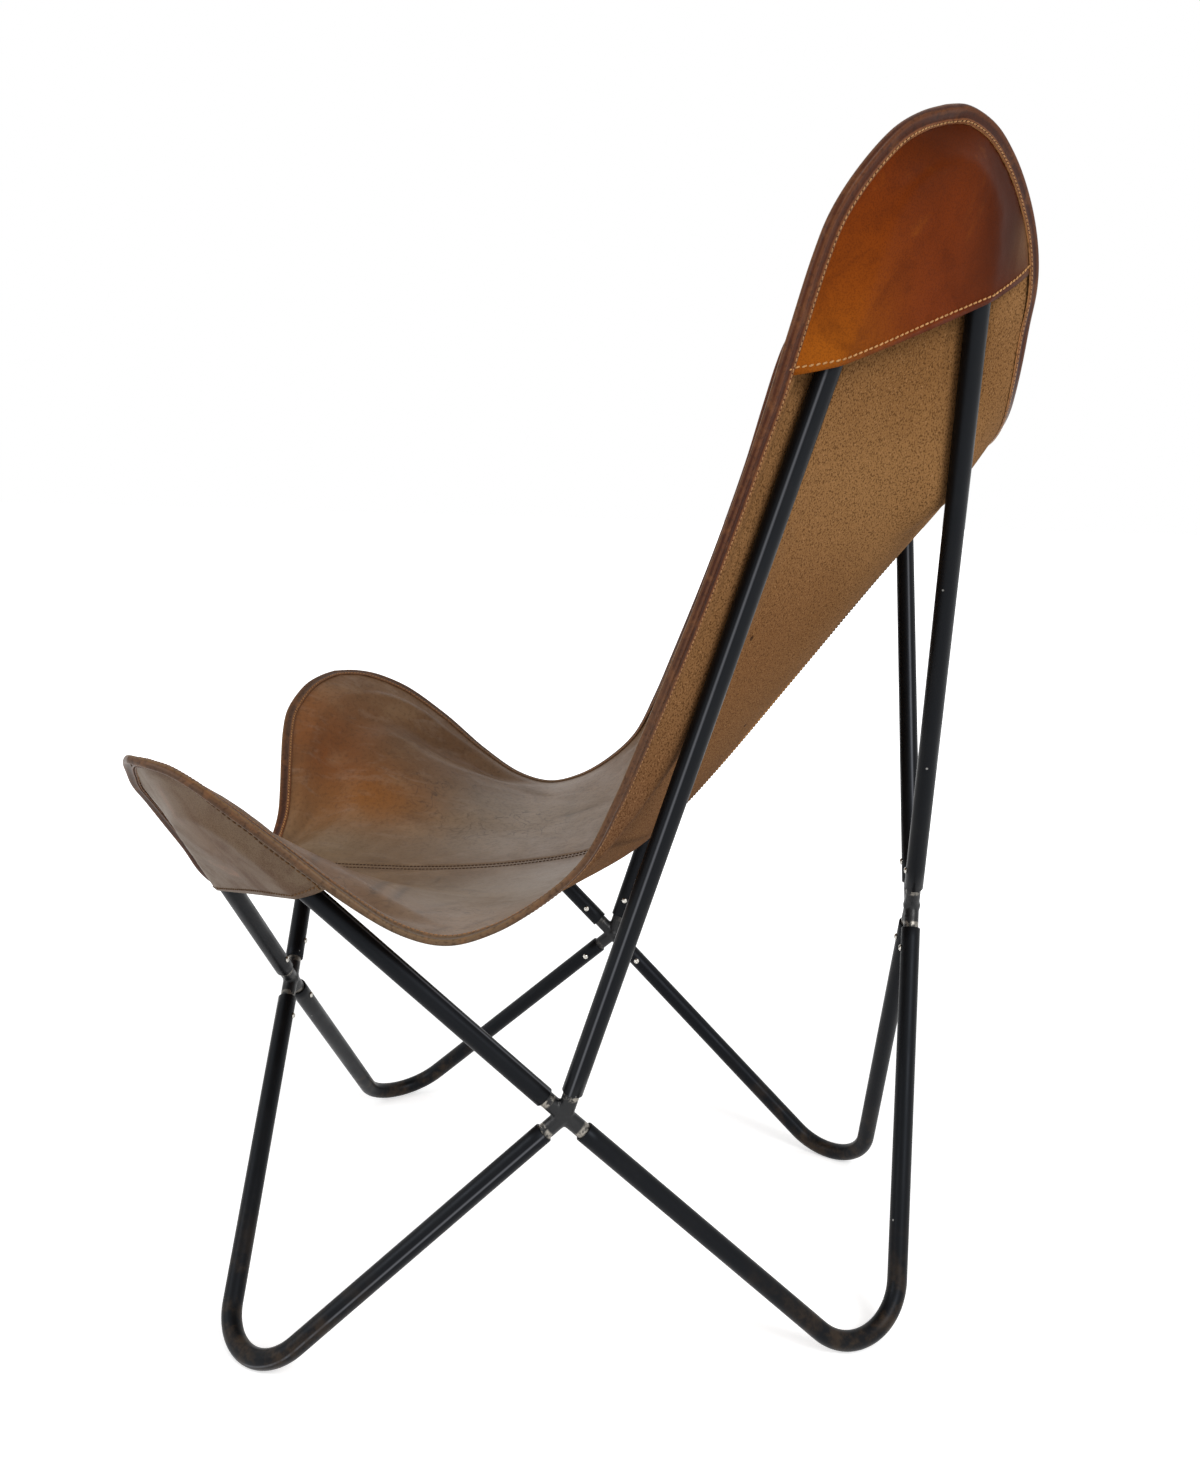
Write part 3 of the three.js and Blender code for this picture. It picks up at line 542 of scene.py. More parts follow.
class Edge:
    """The sling edge as stations: place, up out of the sheet, inwards along the sheet."""

    def __init__(self):
        tall, wide, _ = sling_grid.shape
        rim = [(0, column) for column in range(LAP_STEPS, wide)]
        rim += [(row, wide - 1) for row in range(1, tall)]
        rim += [(tall - 1, column) for column in range(wide - 2, LAP_STEPS - 1, -1)]
        rows, columns = np.array(rim).T
        points, ups = sling_grid[rows, columns], sling_normals[rows, columns]
        lengths = run_lengths(points)
        self.run = np.linspace(0, lengths[-1], int(lengths[-1] / STATION_STEP))
        self.point = read_rows(points, lengths, self.run)
        up = read_rows(ups, lengths, self.run)
        tangent = np.gradient(self.point, axis=0)
        tangent[0] = tangent[-1] = (1.0, 0.0, 0.0)
        tangent[-1] *= -1
        tangent = unit(tangent)
        self.up = unit(up - (up * tangent).sum(-1, keepdims=True) * tangent)
        self.inward = unit(np.cross(self.up, tangent))
        self.front_tip = front_curve.length
        self.back_tip = front_curve.length + side_curve.length

    def at(self, run):
        """Place and up at distances along the edge."""
        return read_rows(self.point, self.run, run), read_rows(self.up, self.run, run)


edge = Edge()
pocket_runs = {
    "front": (FRONT_POCKET_EDGE_SHARE * front_curve.length, edge.front_tip,
              edge.front_tip + FRONT_POCKET_SIDE_SHARE * side_curve.length),
    "back": (edge.front_tip + BACK_POCKET_SIDE_SHARE * side_curve.length, edge.back_tip,
             edge.back_tip + (1 - BACK_POCKET_EDGE_SHARE) * top_curve.length),
}


def pocket_grid(word, horn, sag):
    """Middle surface of a pocket: rungs between two places on the sling edge, from mouth to tip."""
    first, tip, last = pocket_runs[word]
    down_share = np.linspace(0, 1, POCKET_RUNGS) ** POCKET_RUNG_POWER * POCKET_LAST_RUNG_SHARE
    start, start_up = edge.at(first + (tip - first) * down_share)
    end, end_up = edge.at(last + (tip - last) * down_share)
    share = eased(POCKET_COLUMNS, POCKET_CROWDING)[None, :, None]
    flat = start[:, None] * (1 - share) + end[:, None] * share
    droop = sag * (1 - down_share) ** 2
    flat = flat + horn.down * droop[:, None, None] * 4 * share * (1 - share)
    around = (edge.run > first - POCKET_RIM_MARGIN) & (edge.run < last + POCKET_RIM_MARGIN)
    rim, rim_up = edge.point[around], edge.up[around]
    gaps = np.linalg.norm(flat[:, :, None] - rim, axis=-1)
    nearest = gaps.argmin(-1)
    inset = gaps.min(-1)
    up, foot = rim_up[nearest], rim[nearest]
    pressed = flat + up * (-SKIVED_STEP - ((flat - foot) * up).sum(-1))[..., None]
    dropped = flat - horn.normal * (TUBE_COVER_OFFSET + horn.height(flat))[..., None]
    blend = smooth_step(POCKET_FIRST_INSET, POCKET_SECOND_INSET, inset)[..., None]
    grid = pressed * (1 - blend) + dropped * blend
    grid[:, 0] = start - start_up * SKIVED_STEP
    grid[:, -1] = end - end_up * SKIVED_STEP
    return relaxed_over(grid, horn, (inset < POCKET_FIRST_INSET)[..., None])


def tightened(grid, horn):
    """One step of pulling the leather straight between its edges, and its mouth along the horn's normal."""
    middle = grid[1:-1, 1:-1]
    around = (grid[:-2, 1:-1] + grid[2:, 1:-1] + grid[1:-1, :-2] + grid[1:-1, 2:]) / 4
    grid[1:-1, 1:-1] = middle + (around - middle) * POCKET_RELAX_SHARE
    mouth = (grid[0, :-2] + grid[0, 2:]) / 2
    shift = ((mouth - grid[0, 1:-1]) @ horn.normal)[:, None] * horn.normal
    grid[0, 1:-1] += shift * POCKET_RELAX_SHARE
    grid[-1, 1:-1] = (grid[-1, :-2] + grid[-1, 2:]) / 2
    return grid


def over_tube(grid, horn):
    """The grid pushed off the tube, to the side away from the sitter."""
    clear = TUBE_RADIUS + POCKET_THICKNESS / 2 + POCKET_TUBE_CLEARANCE
    height, flat, distance = horn.beside(grid)
    lowest = np.minimum(height, -np.sqrt(np.maximum(clear**2 - distance**2, 0)))
    return flat + np.where(distance < clear, lowest, height)[..., None] * horn.normal


def under_sheet(grid, tree, sewn):
    """The grid pushed under the sling where it isn't sewn to it."""
    sheet, normals = sling_grid.reshape(-1, 3), sling_normals.reshape(-1, 3)
    for row in range(grid.shape[0]):
        for column in range(1, grid.shape[1] - 1):
            _, index, _ = tree.find(grid[row, column])
            over = (grid[row, column] - sheet[index]) @ normals[index] + POCKET_SHEET_GAP
            if over > 0 and not sewn[row, column]:
                grid[row, column] -= normals[index] * over
    return grid


def relaxed_over(grid, horn, sewn):
    """Pulls the leather tight between its edges and over the tube, under the sling."""
    tree = KDTree(sling_grid.size // 3)
    for index, point in enumerate(sling_grid.reshape(-1, 3)):
        tree.insert(point, index)
    tree.balance()
    kept = grid.copy()
    for turn in range(POCKET_RELAX_ROUNDS):
        grid = np.where(sewn, kept, over_tube(tightened(grid, horn), horn))
        if turn % POCKET_CHECK_EVERY == 0 or turn == POCKET_RELAX_ROUNDS - 1:
            grid = under_sheet(grid, tree, sewn)
    return grid


# Thread: small rounded stitches, in one mesh for each group of rows
def stitch_shape():
    """Points and faces of one stitch along X."""
    points = []
    for place, width, sink in STITCH_RINGS:
        for turn in np.linspace(0, 2 * math.pi, STITCH_SIDES, endpoint=False):
            across = width * STITCH_RADIUS * math.cos(turn)
            points.append((place * STITCH_LENGTH, across, STITCH_RADIUS * (width * math.sin(turn) + sink)))
    return np.array(points), ring_faces(len(STITCH_RINGS), STITCH_SIDES)[:-STITCH_SIDES]


def stitched(name, runs, base, spots=(), pitch=STITCH_PITCH, scale=1.0):
    """A stitch along each pitch of every run of (points, ups), in one mesh."""
    shape, shape_faces = stitch_shape()
    points, faces = [], []
    for run, ups in runs:
        lengths = run_lengths(run)
        places = np.arange(pitch / 2, lengths[-1], pitch)
        step = pitch / STITCH_PROBE_PARTS
        ahead = unit(read_rows(run, lengths, places + step) - read_rows(run, lengths, places - step))
        up = read_rows(ups, lengths, places)
        up = unit(up - (up * ahead).sum(-1, keepdims=True) * ahead)
        slant = rng.normal(STITCH_SLANT, STITCH_SLANT_SPREAD, len(places))[:, None]
        ahead = unit(ahead + np.cross(up, ahead) * slant)
        axes = np.stack([ahead, np.cross(up, ahead), up], axis=1)
        placed = read_rows(run, lengths, places)[:, None] + np.einsum("pk,nkd->npd", shape * scale, axes)
        first = sum(len(piece) for piece in points)
        starts = first + np.arange(len(places))[:, None, None] * len(shape)
        faces.append((starts + shape_faces).reshape(-1, 4))
        points.append(placed.reshape(-1, 3))
    points = np.concatenate(points)
    piece = make_piece(name, points, np.concatenate(faces), [THREAD])
    paint(piece, "tone", tones(points, linear(base, False), spots))
    return piece


# Materials
def linear(hex_colour, alpha=True):
    """A screen colour such as #6b4a2c as Blender's linear numbers."""
    parts = [int(hex_colour[i : i + 2], 16) / 255 for i in (1, 3, 5)]
    values = [p / 12.92 if p <= 0.04045 else ((p + 0.055) / 1.055) ** 2.4 for p in parts]
    return (*values, 1.0) if alpha else np.array(values)


# The colour sockets of a Mix node
MIX_FIRST, MIX_SECOND, MIX_RESULT = 6, 7, 2


class Nodes:
    """Short names for the shader nodes of a material or of the world."""

    def __init__(self, tree):
        self.nodes, self.links = tree.nodes, tree.links

    def put(self, socket, value):
        if isinstance(value, bpy.types.NodeSocket):
            self.links.new(value, socket)
        else:
            socket.default_value = value

    def add(self, kind, output, inputs, **settings):
        """One output of a new node, with what goes into it."""
        node = self.nodes.new("ShaderNode" + kind)
        for name, value in settings.items():
            setattr(node, name, value)
        for name, value in inputs.items():
            self.put(node.inputs[name], value)
        return node.outputs[output]

    def ranged(self, value, low, high, to_low=0.0, to_high=1.0):
        inputs = {"Value": value, "From Min": low, "From Max": high, "To Min": to_low, "To Max": to_high}
        return self.add("MapRange", "Result", inputs, interpolation_type="SMOOTHSTEP")

    def math(self, operation, first, second):
        return self.add("Math", "Value", {0: first, 1: second}, operation=operation)

    def seen_directly(self):
        """1 for rays that show the stage, also in a reflection, and 0 for rays that light the chair."""
        path = self.nodes.new("ShaderNodeLightPath")
        share = path.outputs["Is Camera Ray"]
        for other in ("Is Glossy Ray", "Is Transmission Ray"):
            share = self.math("MAXIMUM", share, path.outputs[other])
        return share


class Look(Nodes):
    """A material made of nodes."""

    def __init__(self, name, roughness, specular, metallic=0.0):
        self.material = bpy.data.materials.new(name)
        self.material.use_nodes = True
        super().__init__(self.material.node_tree)
        self.surface = self.nodes["Principled BSDF"]
        self.surface.inputs["Roughness"].default_value = roughness
        self.surface.inputs["Specular IOR Level"].default_value = specular
        self.surface.inputs["Metallic"].default_value = metallic
        self.place = self.nodes.new("ShaderNodeTexCoord").outputs["Object"]

    def scaled(self, stretch):
        return self.add("Mapping", "Vector", {"Vector": self.place, "Scale": stretch})

    def noise(self, scale, detail, roughness, distortion=0.0, vector=None):
        inputs = {"Scale": scale, "Detail": detail, "Roughness": roughness, "Distortion": distortion}
        return self.add("TexNoise", "Fac", {"Vector": vector or self.place, **inputs})

    def cells(self, scale):
        return self.add("TexVoronoi", "Distance", {"Vector": self.place, "Scale": scale})

    def number(self, name):
        return self.add("Attribute", "Fac", {}, attribute_name=name)

    def colour(self, name):
        return self.add("Attribute", "Color", {}, attribute_name=name)

    def mixed(self, share, first, second):
        inputs = {"Factor": share, MIX_FIRST: first, MIX_SECOND: second}
        return self.add("Mix", MIX_RESULT, inputs, data_type="RGBA")

    def stained(self, tone, pattern, low, high, share, hex_colour):
        """The tone with a colour over it, by up to a share, where the pattern goes from low to high."""
        return self.mixed(self.ranged(pattern, low, high, 0.0, share), tone, linear(hex_colour))

    def bump(self, height, distance, strength, normal=None):
        inputs = {"Strength": strength, "Distance": distance, "Height": height}
        if normal is not None:
            inputs["Normal"] = normal
        return self.add("Bump", "Normal", inputs)

    def finish(self, colour, roughness=None, normal=None):
        self.put(self.surface.inputs["Base Color"], colour)
        if roughness is not None:
            self.put(self.surface.inputs["Roughness"], roughness)
        if normal is not None:
            self.put(self.surface.inputs["Normal"], normal)
        return self.material


def grain_leather():
    """Waxed grain side: painted tone, cloudy burnish, lengthwise streaks, fine pores, and painted shade
    along fine wrinkles.
    """
    look = Look("leather_grain", 0.42, 0.15)
    tone = look.colour("tone")
    cloud = look.noise(13, 4, 0.6, 0.6)
    fine = look.noise(260, 4, 0.6)
    streaks = look.noise(60, 4, 0.6, 0.4, look.scaled((1.0, 0.3, 1.0)))
    tone = look.stained(tone, cloud, 0.44, 0.72, 0.36, "#4a3420")
    tone = look.stained(tone, look.noise(22, 3, 0.5, 0.3), 0.5, 0.75, 0.22, "#94795c")
    tone = look.stained(tone, streaks, 0.5, 0.72, 0.14, "#a08e7e")
    tone = look.stained(tone, fine, 0.45, 0.7, 0.28, "#33210f")
    # Painted shade: thin dark lines along fine wrinkles, broken up by a noise, where the seat's mask allows
    wrinkle_shade = look.math("ABSOLUTE", look.math("SUBTRACT", look.noise(30, 3, 0.5, 1.4), 0.5), 0.0)
    broken = look.math("MULTIPLY", look.number("worn"), look.ranged(look.noise(16, 2, 0.5), 0.46, 0.58))
    wrinkle_shade = look.math("MULTIPLY", look.ranged(wrinkle_shade, 0.0, 0.018, 1.0, 0.0), broken)
    tone = look.mixed(look.math("MULTIPLY", wrinkle_shade, 0.6), tone, linear("#3a2a1c"))
    normal = look.bump(look.cells(900), PORE_DEPTH, 0.35)
    normal = look.bump(fine, FINE_DEPTH, 0.22, normal)
    normal = look.bump(streaks, STREAK_DEPTH, 0.2, normal)
    normal = look.bump(look.noise(26, 3, 0.55, 0.8), SWELL_DEPTH, 0.16, normal)
    return look.finish(tone, look.ranged(cloud, 0.35, 0.7, 0.34, 0.48), normal)


def suede_leather():
    """Flesh side: dull brown nap with dark pepper specks and a few dark flecks."""
    look = Look("leather_suede", 0.95, 0.06)
    tone = look.colour("tone")
    nap = look.noise(900, 2, 0.6)
    pepper = look.noise(720, 1, 0.5, 0.0, look.scaled((1.0, 1.3, 0.9)))
    tone = look.stained(tone, look.noise(8, 3, 0.55), 0.42, 0.7, 0.28, "#64401f")
    tone = look.stained(tone, nap, 0.44, 0.3, 0.42, "#b58a60")
    tone = look.stained(tone, pepper, 0.5, 0.64, 0.7, "#412812")
    tone = look.stained(tone, look.cells(19), 0.055, 0.03, 0.8, "#24150a")
    normal = look.bump(nap, NAP_DEPTH, 0.4)
    normal = look.bump(look.noise(180, 3, 0.6), NAP_DEPTH, 0.2, normal)
    return look.finish(tone, None, normal)


def pocket_leather():
    """Smooth burnished side: painted tone with soft blotches, fine mottling and a low shine."""
    look = Look("leather_burnished", 0.42, 0.035)
    cloud = look.noise(18, 4, 0.6, 0.8)
    blotch = look.noise(60, 3, 0.6, 0.4)
    fine = look.noise(900, 2, 0.6)
    tone = look.stained(look.colour("tone"), cloud, 0.48, 0.7, 0.34, "#3c1505")
    tone = look.stained(tone, blotch, 0.5, 0.74, 0.22, "#3c1505")
    tone = look.stained(tone, cloud, 0.44, 0.28, 0.20, "#a05a14")
    tone = look.stained(tone, fine, 0.46, 0.62, 0.26, "#2a1004")
    normal = look.bump(fine, SKIN_DEPTH, 0.3)
    normal = look.bump(blotch, LUMP_DEPTH, 0.12, normal)
    return look.finish(tone, look.ranged(cloud, 0.3, 0.7, 0.36, 0.5), normal)


def cut_leather():
    """Raw cut edge, pale and fibrous."""
    look = Look("leather_cut", 0.85, 0.2)
    tone = look.stained(linear("#b58449"), look.noise(600, 3, 0.6), 0.4, 0.65, 1.0, "#7c4c22")
    return look.finish(tone, None, look.bump(look.noise(700, 2, 0.6), FIBRE_DEPTH, 0.4))


def binding_leather():
    """Folded edge strip: painted tones with tan rubs and dark mottling."""
    look = Look("leather_binding", 0.42, 0.12)
    tone = look.stained(look.colour("tone"), look.noise(80, 4, 0.6), 0.5, 0.72, 0.25, "#8a5a34")
    tone = look.stained(tone, look.noise(330, 3, 0.6), 0.48, 0.68, 0.45, "#1e0d05")
    return look.finish(tone, None, look.bump(look.noise(420, 3, 0.6), FIBRE_DEPTH, 0.35))


def thread():
    """Waxed thread, its twist as a fine noise."""
    look = Look("thread", 0.75, 0.15)
    twist = look.noise(900, 2, 0.5)
    tone = look.stained(look.colour("tone"), twist, 0.4, 0.65, 0.4, "#3f2817")
    return look.finish(tone, None, look.bump(twist, SKIN_DEPTH, 0.4))


def black_steel():
    """Satin black coat with a fine skin, a pale weld line, a few nicks and some dust near the floor."""
    look = Look("steel_black", 0.38, 0.13)
    look.surface.inputs["Specular Tint"].default_value = linear("#dbe6f6")
    dust = look.math("MULTIPLY", look.number("dust"), look.ranged(look.noise(60, 4, 0.65), 0.42, 0.7))
    tone = look.stained(linear("#0c0c0d"), look.noise(38, 4, 0.65), 0.5, 0.78, 0.25, "#1c1a18")
    tone = look.mixed(look.number("weld"), tone, linear("#55565a"))
    tone = look.mixed(dust, tone, linear("#33291f"))
    tone = look.stained(tone, look.cells(36), 0.045, 0.025, 0.85, "#a3a3a0")
    normal = look.bump(look.noise(700, 2, 0.5), SKIN_DEPTH, 0.10)
    return look.finish(tone, look.ranged(look.noise(25, 3, 0.5), 0.3, 0.7, 0.34, 0.46), normal)


def connector_steel():
    """Black core with bare, brushed weld metal showing in broken bands."""
    look = Look("steel_connector", 0.42, 0.3)
    patch = look.ranged(look.noise(160, 3, 0.6), 0.42, 0.56, 0.0, 1.0)
    share = look.math("MULTIPLY", look.number("bare"), patch)
    tone = look.mixed(share, linear("#101113"), linear("#8f8a82"))
    look.put(look.surface.inputs["Metallic"], share)
    normal = look.bump(look.noise(260, 3, 0.6), LUMP_DEPTH, 0.5)
    return look.finish(tone, look.ranged(patch, 0.0, 1.0, 0.46, 0.36), normal)


def screw_steel():
    """Bright plated steel."""
    look = Look("steel_screw", 0.26, 0.5, 1.0)
    tone = look.mixed(look.noise(500, 2, 0.5), linear("#d8d6d0"), linear("#a9a59c"))
    return look.finish(tone, None, look.bump(look.noise(900, 2, 0.5), BRUSHED_DEPTH, 0.2))


def studio_floor():
    """White floor: it shows a soft shadow close to the chair and turns plain white further out."""
    look = Look("floor_white", 0.9, 0.0)
    away = look.add("VectorMath", "Value", {0: look.place}, operation="LENGTH")
    glow = look.ranged(away, FLOOR_SHADOW_REACH, FLOOR_WHITE_REACH, FLOOR_NEAR_GLOW, 1.0)
    look.put(look.surface.inputs["Emission Color"], (1, 1, 1, 1))
    look.put(look.surface.inputs["Emission Strength"], look.math("MULTIPLY", look.seen_directly(), glow))
    return look.finish(FLOOR_COLOUR)


GRAIN, SUEDE, BURNISHED, CUT = grain_leather(), suede_leather(), pocket_leather(), cut_leather()
BINDING, THREAD = binding_leather(), thread()
BLACK, CONNECTOR, SCREW = black_steel(), connector_steel(), screw_steel()


# Painted tones
def tones(points, base, spots):
    """A colour for each point: the base with soft spots (place, radius, colour, strength) on both sides."""
    folded = np.concatenate([np.abs(points[:, :1]), points[:, 1:]], axis=1)
    colour = np.broadcast_to(base if isinstance(base, np.ndarray) else linear(base, False), points.shape)
    for place, radius, hex_colour, strength in spots:
        distance = np.linalg.norm(folded - np.array(place, float), axis=1) / radius
        share = (strength * np.exp(-(distance**2)))[:, None]
        colour = colour * (1 - share) + linear(hex_colour, False) * share
    return colour


GRAIN_BASE = "#6a4e33"
GRAIN_SPOTS = [
    ((0, 170, 560), 210, "#5f3f23", 0.8), ((300, 160, 830), 110, "#57361c", 0.7),
    # The two pale grey spots at (100, -45, 345) and (150, -64, 347) are painted sheen, a painted reflection
    # of the bright surroundings on the seat
    ((115, -120, 340), 105, "#6c5942", 0.85), ((100, -45, 345), 80, "#8c7a6a", 0.8),
    ((150, -64, 347), 60, "#8a7763", 0.75), ((185, -120, 355), 60, "#6c543a", 0.6),
    ((130, -238, 361), 62, "#834c10", 0.9), ((178, -285, 405), 62, "#6f3a10", 0.85),
    ((215, -325, 440), 45, "#77451a", 0.75), ((237, -287, 453), 50, "#644831", 0.6),
    ((255, -181, 390), 70, "#64452c", 0.7), ((40, -250, 330), 70, "#6f5c45", 0.8),
    ((250, -48, 362), 60, "#857160", 0.75), ((205, -205, 393), 46, "#67482b", 0.8),
    ((160, -120, 350), 34, "#7c6a57", 0.6),
]
SUEDE_BASE = "#88633e"
SUEDE_SPOTS = [
    ((212, 222, 740), 80, "#76502b", 0.85), ((190, 196, 664), 85, "#906a41", 0.8),
    ((193, 128, 555), 110, "#76502f", 0.85), ((90, 40, 380), 130, "#5f3d22", 0.85),
    ((0, -150, 330), 160, "#604026", 0.8), ((266, 44, 430), 80, "#6a4932", 0.85),
]
BACK_POCKET_BASE = "#682a07"
BACK_POCKET_SPOTS = [
    ((274, 218, 885), 52, "#260b00", 0.92), ((208, 279, 842), 54, "#220900", 0.94),
    ((290, 152, 750), 44, "#965210", 0.9), ((300, 165, 800), 40, "#7b3a08", 0.6),
    ((262, 236, 850), 34, "#742f04", 0.6),
    # The first spot below, grey-brown at (190, 302, 838) by the pocket's right edge, is painted sheen
    ((190, 302, 838), 22, "#6b4d34", 0.9), ((236, 262, 872), 34, "#2a0c00", 0.8),
]
FRONT_POCKET_BASE = "#705e4c"
FRONT_POCKET_SPOTS = [
    ((177, -316, 420), 62, "#7c7165", 0.85), ((182, -271, 401), 46, "#706152", 0.7),
    ((240, -250, 430), 50, "#5c432b", 0.8), ((150, -240, 365), 44, "#573d26", 0.85),
    ((215, -258, 405), 24, "#75502a", 0.5), ((206, -240, 392), 34, "#523a23", 0.8),
]
# The dark tone of the recess, on the leg and under the nose, is painted shade; the pale tone on top of the
# nose is a painted highlight
BINDING_TONES = {
    "raw": "#a9784a", "ridge": "#6c4023", "groove": "#2c160a", "shaded_hollow": "#331508", "roll": "#4e2a15",
    "lit_lip": "#70502f", "nose": "#4f2e18", "inside": "#3a1b0b",
}
BINDING_SPOTS = [
    ((230, -290, 440), 130, "#5a4837", 0.5), ((300, 150, 800), 120, "#6b3a1c", 0.2),
    ((286, -90, 360), 130, "#65533f", 0.75), ((284, 40, 480), 90, "#5c4230", 0.5),
]
POCKET_TONES = {
    "back": (BACK_POCKET_BASE, BACK_POCKET_SPOTS),
    "front": (FRONT_POCKET_BASE, FRONT_POCKET_SPOTS),
}
TAN_THREAD, INSIDE_THREAD, DARK_THREAD, HEM_THREAD = "#a97f55", "#9a6c42", "#33231a", "#b98a58"
INSIDE_THREAD_SPOTS = [((100, -330, 360), 110, "#c4935c", 0.5)]
OUTSIDE_THREAD_SPOTS = [((210, -280, 420), 230, DARK_THREAD, 1.0)]


# Leather pieces
def creased(grid, side):
    """The sheet with the soft creases of its half, seen in plan, and how far each point rises in them."""
    rises = np.zeros(grid.shape[:2])
    plan = grid[..., :2]
    for start, end, rise, width in CREASES[side]:
        start, step = np.array(start, float), np.array(end, float) - np.array(start, float)
        share = ((plan - start) @ step) / (step @ step)
        nearest = start + np.clip(share, 0, 1)[..., None] * step
        away = np.linalg.norm(plan - nearest, axis=-1)
        fade = smooth_step(0, CREASE_FADE_SHARE, share) * (1 - smooth_step(1 - CREASE_FADE_SHARE, 1, share))
        rises += rise * fade * np.exp(-((away / width) ** 2))
    return grid + rises[..., None] * grid_normals(grid), rises


def sling_half(name, side):
    """Half of the sling, creased and painted, with painted shade in its crease furrows, painted light on
    their ridges and a mask for painted shade along fine wrinkles on the seat; the left one dips under the
    right one at the seam.
    """
    grid, rises = creased(sling_grid, side)
    if side < 0:
        beside_seam = 1 - smooth_step(SEAM_LAP, SEAM_LAP + SEAM_RAMP, np.abs(grid[..., 0]))
        grid = grid - sling_normals * LAYER_STEP * beside_seam[..., None]
    points, faces, kinds = leaf(grid, LEATHER_THICKNESS, side)
    piece = make_piece("leather_" + name, points, faces, [GRAIN, SUEDE, CUT], kinds)
    count = len(points) // 2
    upper, lower = points[:count], points[count:]
    colour = [tones(upper, GRAIN_BASE, GRAIN_SPOTS), tones(lower, SUEDE_BASE, SUEDE_SPOTS)]
    # Painted shade in the crease furrows and painted light on the crease ridges, by how far each point
    # rises
    shade = np.maximum(1 + CREASE_SHADE * np.tile(rises.ravel(), 2), CREASE_DARKEST)
    paint(piece, "tone", np.clip(np.concatenate(colour) * shade[:, None], 0, 1))
    # Mask of the painted shade along fine wrinkles: full near the seat's centre, fading out further away
    from_wrinkle_shade_centre = np.linalg.norm(np.abs(points) - WRINKLE_SHADE_CENTRE, axis=1)
    paint(piece, "worn", 1 - smooth_step(WRINKLE_SHADE_CORE, WRINKLE_SHADE_REACH, from_wrinkle_shade_centre))
    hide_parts("sling_" + name)
    return piece


def pocket(name, word, side, grid):
    """A pocket, thinned towards its sewn sides."""
    from_first = np.array([run_lengths(rung) for rung in grid])
    inset = np.minimum(from_first, from_first[:, -1:] - from_first)
    full = smooth_step(SKIVED_FLAT, SKIVED_WIDTH, inset)
    thickness = SKIVED_THICKNESS + (POCKET_THICKNESS - SKIVED_THICKNESS) * full
    points, faces, kinds = leaf(grid, thickness, side)
    piece = make_piece("leather_" + name, points, faces, [BURNISHED, SUEDE, CUT], kinds)
    base, spots = POCKET_TONES[word]
    paint(piece, "tone", tones(points, base, spots))
    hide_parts(name)
    hem = hem_stitches(name, grid, side, PERIMETER_INSETS[word])


def binding_room():
    """Height of the strip's inside above the sheet, and its depths below it, at the edge's stations."""
    near = LEATHER_THICKNESS / 2 + BINDING_FIT
    runs = edge.run
    beside_pocket = np.zeros(len(runs))
    for first, _, last in pocket_runs.values():
        begun = smooth_step(first - BINDING_RAMP, first, runs)
        ended = smooth_step(last, last + BINDING_RAMP, runs)
        beside_pocket = np.maximum(beside_pocket, begun * (1 - ended))
    beside_seam = 1 - smooth_step(SEAM_LAP, SEAM_LAP + SEAM_RAMP, np.minimum(runs, runs[-1] - runs))
    return near, near + np.maximum(SKIVED_ROOM * beside_pocket, LAYER_STEP * beside_seam)


def section_outline(near, below):
    """The folded strip as (across, height) rows, from its inner edge over the nose and back."""
    over = [(across, near + BINDING_THICKNESS * share) for across, share, _ in BINDING_LEG]
    under = [(across, -below - BINDING_THICKNESS * share) for across, share, _ in reversed(BINDING_LEG)]
    middle, half = (near - below) / 2, (near + below) / 2 + BINDING_THICKNESS
    nose = []
    for angle in np.linspace(math.pi / 2, -math.pi / 2, len(BINDING_NOSE_TONES)):
        nose.append((-BINDING_NOSE * math.cos(angle), middle + half * math.sin(angle)))
    last = BINDING_LEG[0][0]
    inside = [(last, -below), (-BINDING_FIT, -below), (-BINDING_FIT, near), (last, near)]
    return np.array([*over, *nose, *under, *inside])


def section_tones():
    """A colour for each point of the outline."""
    outside = [tone for _, _, tone in BINDING_LEG]
    inside = ["ridge" if tone == "raw" else tone for tone in outside]
    names = [*inside, *BINDING_NOSE_TONES, *outside[::-1], *["inside"] * BINDING_INSIDE_CORNERS]
    return np.array([linear(BINDING_TONES[name], False) for name in names])


def edge_binding():
    """The folded strip round the whole edge."""
    near, depths = binding_room()
    rows = []
    for place, up, inward, below in zip(edge.point, edge.up, edge.inward, depths):
        outline = section_outline(near, below)
        rows.append(place + outline[:, :1] * inward + outline[:, 1:] * up)
    half = np.array(rows)
    sections = np.concatenate([half, mirrored(half)[::-1][1:-1]])
    count, corners, _ = sections.shape
    points = sections.reshape(-1, 3)
    piece = make_piece("edge_strip", points, ring_faces(count, corners), [BINDING])
    colour = np.tile(section_tones(), (count, 1))
    paint(piece, "tone", tones(points, colour, BINDING_SPOTS))
    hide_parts("edge_binding")
    return piece


def both_sides(line, up):
    """A row of stitches on the right half and its twin on the left."""
    return [(on_side(line, side), on_side(up, side)) for _, side in SIDES]


